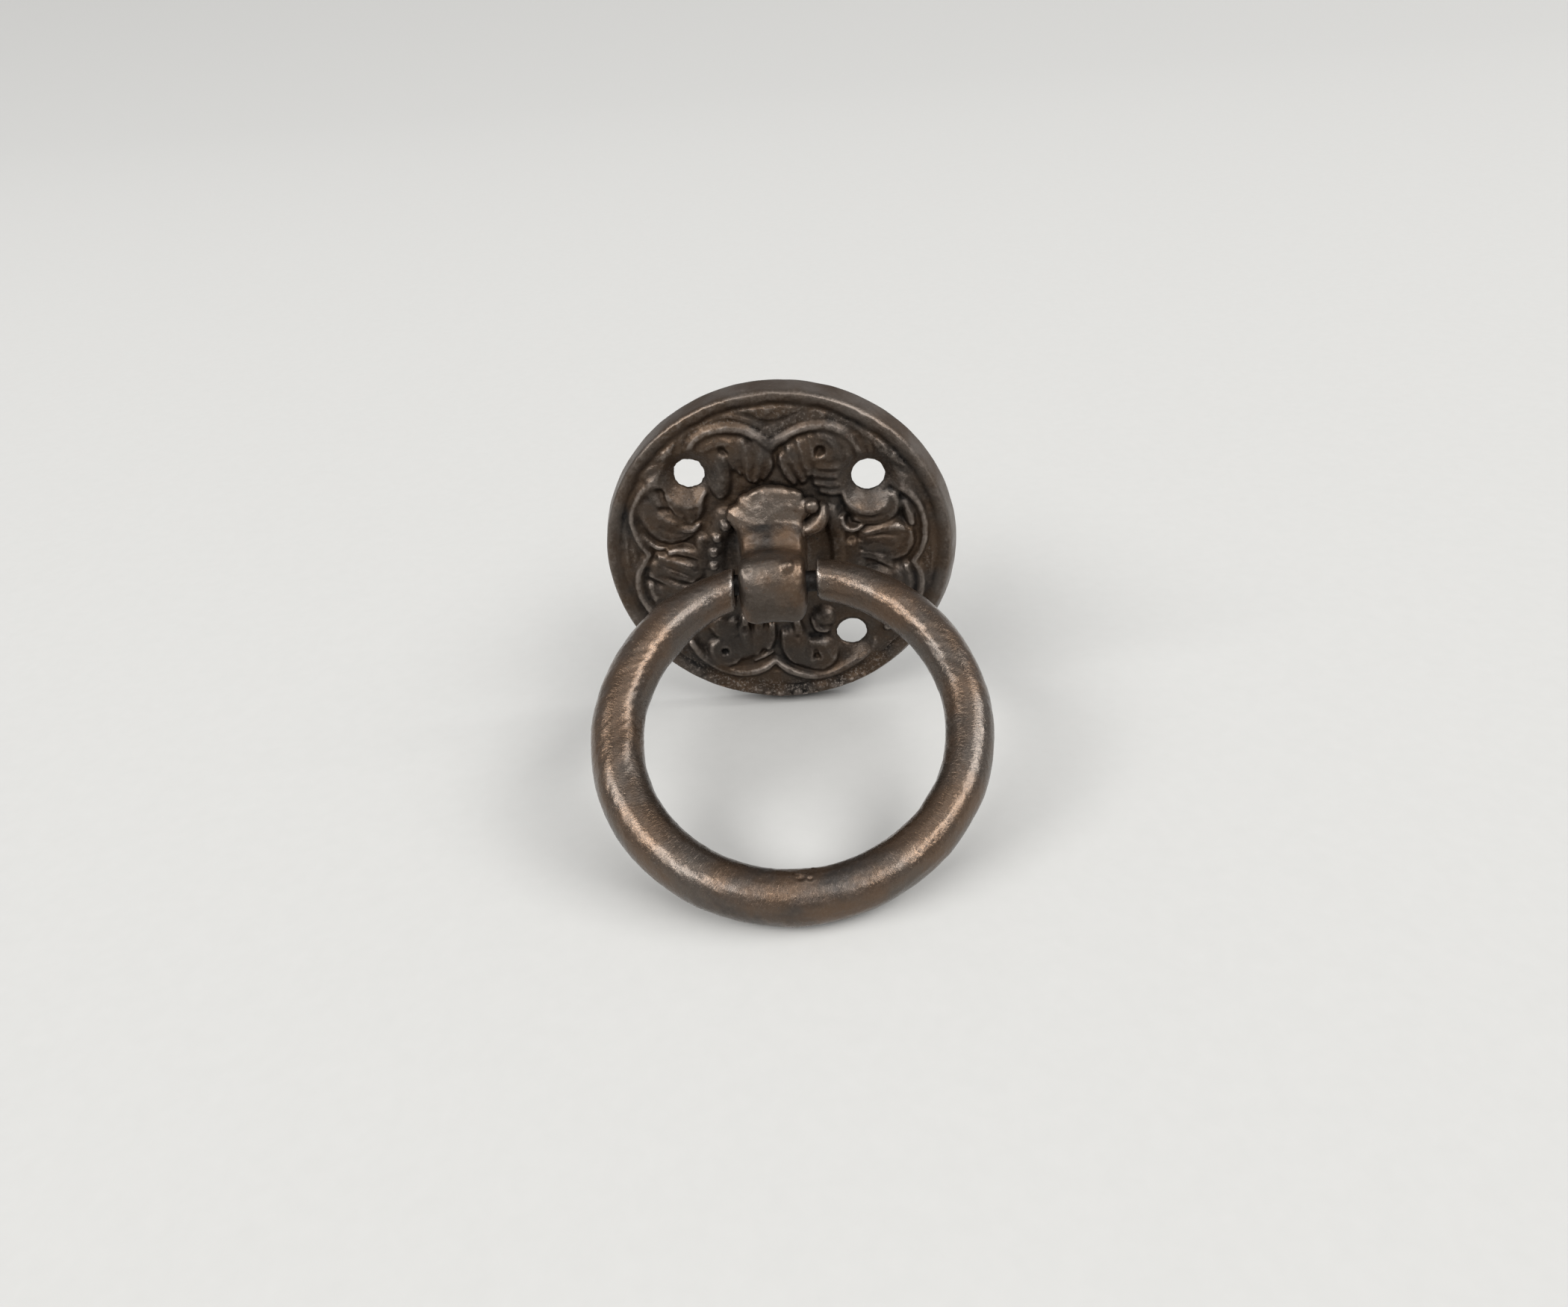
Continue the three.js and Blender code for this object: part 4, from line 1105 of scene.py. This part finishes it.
class Graph:
    """A short way to write a node tree."""

    def __init__(self, name):
        self.material = bpy.data.materials.new(name)
        self.material.use_nodes = True
        self.tree = self.material.node_tree
        self.shader = self.tree.nodes["Principled BSDF"]
        self.place = self.node("ShaderNodeTexCoord").outputs["Object"]

    def node(self, kind, inputs=None, **settings):
        made = self.tree.nodes.new(kind)
        for key, value in settings.items():
            setattr(made, key, value)
        for key, value in (inputs or {}).items():
            if isinstance(value, bpy.types.NodeSocket):
                self.tree.links.new(value, made.inputs[key])
            else:
                made.inputs[key].default_value = value
        return made

    def noise(self, size_mm, detail, rough_share=0.6, distortion=0.0, place=None):
        inputs = {
            "Vector": self.place if place is None else place,
            "Scale": 1 / (size_mm * MM),
            "Detail": detail,
            "Roughness": rough_share,
            "Distortion": distortion,
        }
        return self.node("ShaderNodeTexNoise", inputs).outputs["Fac"]

    def ramp(self, value, low, high, start=0.0, end=1.0):
        inputs = {"Value": value, "From Min": low, "From Max": high, "To Min": start, "To Max": end}
        return self.node("ShaderNodeMapRange", inputs, interpolation_type="SMOOTHSTEP").outputs["Result"]

    def math(self, kind, a, b):
        return self.node("ShaderNodeMath", {0: a, 1: b}, operation=kind).outputs["Value"]

    def sway(self, value, reach):
        """A noise value turned into a push of up to half the reach either way."""
        return self.math("MULTIPLY", self.math("SUBTRACT", value, 0.5), reach)

    def mix(self, share, a, b):
        """A mix of two colours; the node has several sockets of each name, so they go by place."""
        return self.node("ShaderNodeMix", {0: share, 6: a, 7: b}, data_type="RGBA").outputs[2]

    def attribute(self, name, output="Fac"):
        return self.node("ShaderNodeAttribute", attribute_name=name).outputs[output]

    def link(self, source, target):
        self.tree.links.new(source, self.shader.inputs[target])

    def bump(self, surface, bump_mm):
        made = self.node("ShaderNodeBump", {"Strength": 1.0, "Distance": bump_mm * MM, "Height": surface})
        self.link(made.outputs["Normal"], "Normal")


def colour(red, green, blue):
    return (red, green, blue, 1.0)


def tinted(base, red, green, blue):
    """A colour with its three parts made stronger or weaker."""
    return colour(base[0] * red, base[1] * green, base[2] * blue)


# How large the patina's patterns are, in millimetres.
MOTTLE, SPECKLE, CLOUDS, RUST, CAST_PITTING, SKIN, CHATTER = 3.5, 0.5, 9.0, 1.1, 0.5, 0.22, 0.9
METALLIC = 0.85


def patina(name, recess, body, worn, wear_range, gloss, bump_mm, wax, broken_up=0.5, marked=False):
    """Dark-patinated cast metal: near-black hollows, patina there plus painted shade, brown body, tan rubbed
    edges.
    """
    graph = Graph(name)
    mottle = graph.noise(MOTTLE, 4, 0.6, 0.4)
    speckle = graph.noise(SPECKLE, 3, 0.65)
    clouds = graph.noise(CLOUDS, 3, 0.5)
    # hollows stay dark, patina plus painted shade, as do the painted shade marks on the lug's neck and on the
    # ring's bottom and end faces; open surfaces take the body colour
    height = graph.math("ADD", graph.attribute("wear_and_shading"), graph.sway(mottle, 0.3))
    open_share = graph.ramp(height, -0.6, 0.05)
    bare = graph.mix(graph.attribute("polish"), body, tinted(body, 3.0, 3.0, 3.0))
    base = graph.mix(open_share, recess, bare)
    # warm patches, and rust in the open
    base = graph.mix(graph.ramp(clouds, 0.35, 0.66, 0.0, 0.8), base, tinted(body, 1.32, 0.99, 0.7))
    rust = graph.ramp(graph.noise(RUST, 5, 0.7), 0.6, 0.72, 0.0, 0.55)
    base = graph.mix(graph.math("MULTIPLY", rust, open_share), base, tinted(body, 1.15, 0.72, 0.45))
    # rubbed high spots, and the painted highlight on the lug's shoulder, broken up by the grain of the
    # casting
    rubbed = graph.ramp(graph.math("ADD", height, graph.sway(speckle, broken_up)), *wear_range)
    grit = graph.math("MULTIPLY", graph.attribute("grain"), graph.ramp(speckle, 0.5, 0.68, 0.0, 0.55))
    base = graph.mix(graph.math("MAXIMUM", rubbed, grit), base, worn)
    pits = graph.ramp(graph.noise(CAST_PITTING, 2, 0.5), 0.7, 0.77)
    base = graph.mix(graph.math("MULTIPLY", pits, 0.7), base, recess)
    graph.link(base, "Base Color")
    roughness = graph.ramp(mottle, 0.3, 0.7, gloss - 0.06, gloss + 0.08)
    roughness = graph.math("ADD", roughness, graph.sway(speckle, 0.25))
    dull_hollows = graph.ramp(open_share, 0.0, 1.0, 0.18, 0.0)
    graph.link(graph.math("ADD", roughness, dull_hollows), "Roughness")
    graph.shader.inputs["Metallic"].default_value = METALLIC
    graph.shader.inputs["Specular IOR Level"].default_value = 0.5
    graph.shader.inputs["Coat Weight"].default_value = wax
    graph.shader.inputs["Coat Roughness"].default_value = 0.3
    surface = graph.math("ADD", speckle, graph.math("MULTIPLY", graph.noise(SKIN, 2, 0.6), 0.3))
    surface = graph.math("SUBTRACT", surface, graph.math("MULTIPLY", pits, 1.5))
    if marked:
        # tooling marks across the bar
        bar = graph.attribute("bar", "Vector")
        squeezed = graph.node("ShaderNodeVectorMath", {0: bar, 1: (2.4, 1.0, 1.0)}, operation="MULTIPLY")
        chatter = graph.noise(CHATTER, 3, 0.6, 0.8, place=squeezed.outputs["Vector"])
        surface = graph.math("ADD", surface, graph.math("MULTIPLY", chatter, 2.2))
    graph.bump(surface, bump_mm)
    return graph.material


def steel_material():
    graph = Graph("pin_dark_steel")
    stain = graph.noise(1.8, 4)
    tone = graph.mix(graph.ramp(stain, 0.35, 0.65), colour(0.035, 0.032, 0.03), colour(0.018, 0.015, 0.013))
    graph.link(tone, "Base Color")
    graph.link(graph.ramp(stain, 0.3, 0.7, 0.35, 0.6), "Roughness")
    graph.shader.inputs["Metallic"].default_value = 0.9
    graph.bump(graph.noise(0.25, 2), 0.04)
    return graph.material


plate_metal = patina(
    "plate_bronze_patina",
    recess=colour(0.014, 0.0125, 0.0115),
    body=colour(0.056, 0.047, 0.04),
    worn=colour(0.21, 0.178, 0.153),
    wear_range=(0.12, 0.8),
    gloss=0.38,
    bump_mm=0.07,
    wax=0.0,
    broken_up=0.6,
)
lug_metal = patina(
    "lug_bronze_patina",
    recess=colour(0.03, 0.026, 0.023),
    body=colour(0.09, 0.072, 0.058),
    worn=colour(0.31, 0.265, 0.222),
    wear_range=(0.3, 0.9),
    gloss=0.36,
    bump_mm=0.07,
    wax=0.15,
)
ring_metal = patina(
    "ring_bronze_patina",
    recess=colour(0.04, 0.034, 0.03),
    body=colour(0.088, 0.07, 0.056),
    worn=colour(0.29, 0.253, 0.222),
    wear_range=(0.35, 1.0),
    gloss=0.24,
    bump_mm=0.042,
    wax=0.4,
    marked=True,
)
pin_metal = steel_material()

# ---- The four pieces -------------------------------------------------------------------------------------

CAST_CREASE = 62
TURNED_CREASE = 40

points, faces, grain, wear_and_shading = plate_mesh()
rim_share = smooth_step(31.0, 32.4, np.hypot(points[:, 0], points[:, 2]))
rim_polish = rim_share * (0.35 + 0.5 * smooth_step(-4.2, -3.6, points[:, 1]))
plate = make_object("plate_casting", points, faces, {"grain": grain, "wear_and_shading": wear_and_shading, "polish": rim_polish})
sharpen(plate, CAST_CREASE)
plate.data.materials.append(plate_metal)
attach(plate, "plate")
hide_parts("rosette_plate")

points, faces = lug_mesh()
lug = make_object("lug_forging", points, faces, lug_marks(points, faces))
lug.data.materials.append(lug_metal)
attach(lug, "plate")
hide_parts("ring_lug")

points, faces, spread = ring_mesh()
# raised spots rubbed lighter; hollows darkened, patina plus painted shade
proud = curvature(points, faces, WEAR_PASSES)
# painted shade: the bar's colour is darker at the bottom of the ring
bottom_painted_shade = smooth_step(0.8, 0.98, -np.cos(spread[:, 0] / RING_RADIUS))
bar_wear_and_shading = np.clip(proud / BAR_PROUD, -1, 1) - 0.45 * bottom_painted_shade
# painted shade on the bar's end faces and in their sockets
bar_wear_and_shading[RING_STEPS * RING_ROUND:] = END_FACE_PAINTED_SHADE
ring = make_object("ring_casting", swung(points), faces, {"grain": 0.1 + 0 * proud, "wear_and_shading": bar_wear_and_shading})
marks = ring.data.attributes.new("bar", "FLOAT_VECTOR", "POINT")
marks.data.foreach_set("vector", (spread * MM).astype(np.float32).ravel())
sharpen(ring, CAST_CREASE)
ring.data.materials.append(ring_metal)
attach(ring, "ring")
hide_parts("pull_ring")

points, faces = pin_mesh()
pin = make_object("hinge_pin", swung(points), faces)
sharpen(pin, TURNED_CREASE)
pin.data.materials.append(pin_metal)
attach(pin, "ring")
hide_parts("pivot_pin")

# ---- Floor, light and camera -----------------------------------------------------------------------------

# The floor sheet, in metres: flat this far behind the door plane, then gently curved up to a slope.
BACKDROP_NEAR = -4.0
BACKDROP_REACH = 1.2
BACKDROP_CURVE = 8.0
BACKDROP_SLOPE = math.radians(14)
BACKDROP_RUN = 6.0
BACKDROP_HALF_WIDTH = 8.0
BACKDROP_STEPS = 24


def backdrop():
    """A pale sheet: flat under and round the object, curving up far behind it."""
    level = cad_box[0][2]
    profile = [(BACKDROP_NEAR, 0.0), (BACKDROP_REACH, 0.0)]
    for k in range(1, BACKDROP_STEPS + 1):
        turn = BACKDROP_SLOPE * k / BACKDROP_STEPS
        rise = BACKDROP_CURVE * (1 - math.cos(turn))
        profile.append((BACKDROP_REACH + BACKDROP_CURVE * math.sin(turn), rise))
    last_y, last_z = profile[-1]
    profile.append((last_y + BACKDROP_RUN, last_z + BACKDROP_RUN * math.tan(BACKDROP_SLOPE)))
    points = []
    for side in (-BACKDROP_HALF_WIDTH, BACKDROP_HALF_WIDTH):
        points.extend((side / MM, y / MM, (level + z) / MM) for y, z in profile)
    count = len(profile)
    faces = [(i, i + 1, count + i + 1, count + i) for i in range(count - 1)]
    sheet = make_object("floor_sheet", points, faces)
    graph = Graph("floor_paper")
    paper = graph.mix(graph.noise(3.0, 2), colour(0.462, 0.459, 0.443), colour(0.485, 0.481, 0.465))
    graph.link(paper, "Base Color")
    graph.shader.inputs["Roughness"].default_value = 0.9
    sheet.data.materials.append(graph.material)


backdrop()

LIGHT_DISTANCE = 8.0
LIGHT_TARGET = Vector((0, -0.02, 0))
# name, direction from the object, size in metres from front to back and across, power
SOFTBOXES = [
    ("right_softbox", (0.64, -0.32, 0.7), (9.2, 2.9), 690.0),
    ("left_softbox", (-0.59, -0.49, 0.64), (7.0, 2.7), 590.0),
    ("overhead_panel", (0.0, -0.3, 0.95), (5.0, 5.6), 85.0),
]


def area_light(name, place, size, watts):
    data = bpy.data.lights.new(name, "AREA")
    data.shape = "RECTANGLE"
    data.size, data.size_y = size
    data.energy = watts
    made = bpy.data.objects.new(name, data)
    made.location = place
    made.rotation_euler = (LIGHT_TARGET - place).to_track_quat("-Z", "Y").to_euler()
    bpy.context.scene.collection.objects.link(made)


for name, direction, size, watts in SOFTBOXES:
    area_light(name, Vector(direction).normalized() * LIGHT_DISTANCE, size, watts)

world = bpy.data.worlds.new("studio")
world.use_nodes = True
bpy.context.scene.world = world
world.node_tree.nodes["Background"].inputs["Color"].default_value = (0.98, 0.98, 1.0, 1.0)
world.node_tree.nodes["Background"].inputs["Strength"].default_value = 0.39

ELEVATION = math.radians(32.2)
AZIMUTH = math.radians(3.46)
ROLL = math.radians(4.94)
LOOK_X, LOOK_Z, DISTANCE = -1.32, -21.18, 225.75
FOCAL_SHARE = 1500 / 2100
SENSOR = 36.0


def place_camera():
    level = math.cos(ELEVATION)
    back = Vector((math.sin(AZIMUTH) * level, -math.cos(AZIMUTH) * level, math.sin(ELEVATION)))
    right = (-back).cross(Vector((0, 0, 1))).normalized()
    up = right.cross(-back)
    spot = (right * LOOK_X + up * LOOK_Z + back * DISTANCE) * MM
    c, s = math.cos(ROLL), math.sin(ROLL)
    turned_right = right * c - up * s
    turned_up = right * s + up * c
    basis = Matrix((turned_right, turned_up, back)).transposed().to_4x4()
    data = bpy.data.cameras.new("camera")
    data.sensor_width = SENSOR
    data.lens = FOCAL_SHARE * SENSOR
    data.clip_start = 0.01
    data.clip_end = 20
    made = bpy.data.objects.new("camera", data)
    made.matrix_world = Matrix.Translation(spot) @ basis
    bpy.context.scene.collection.objects.link(made)
    bpy.context.scene.camera = made


place_camera()
bpy.context.scene.view_settings.view_transform = "Standard"
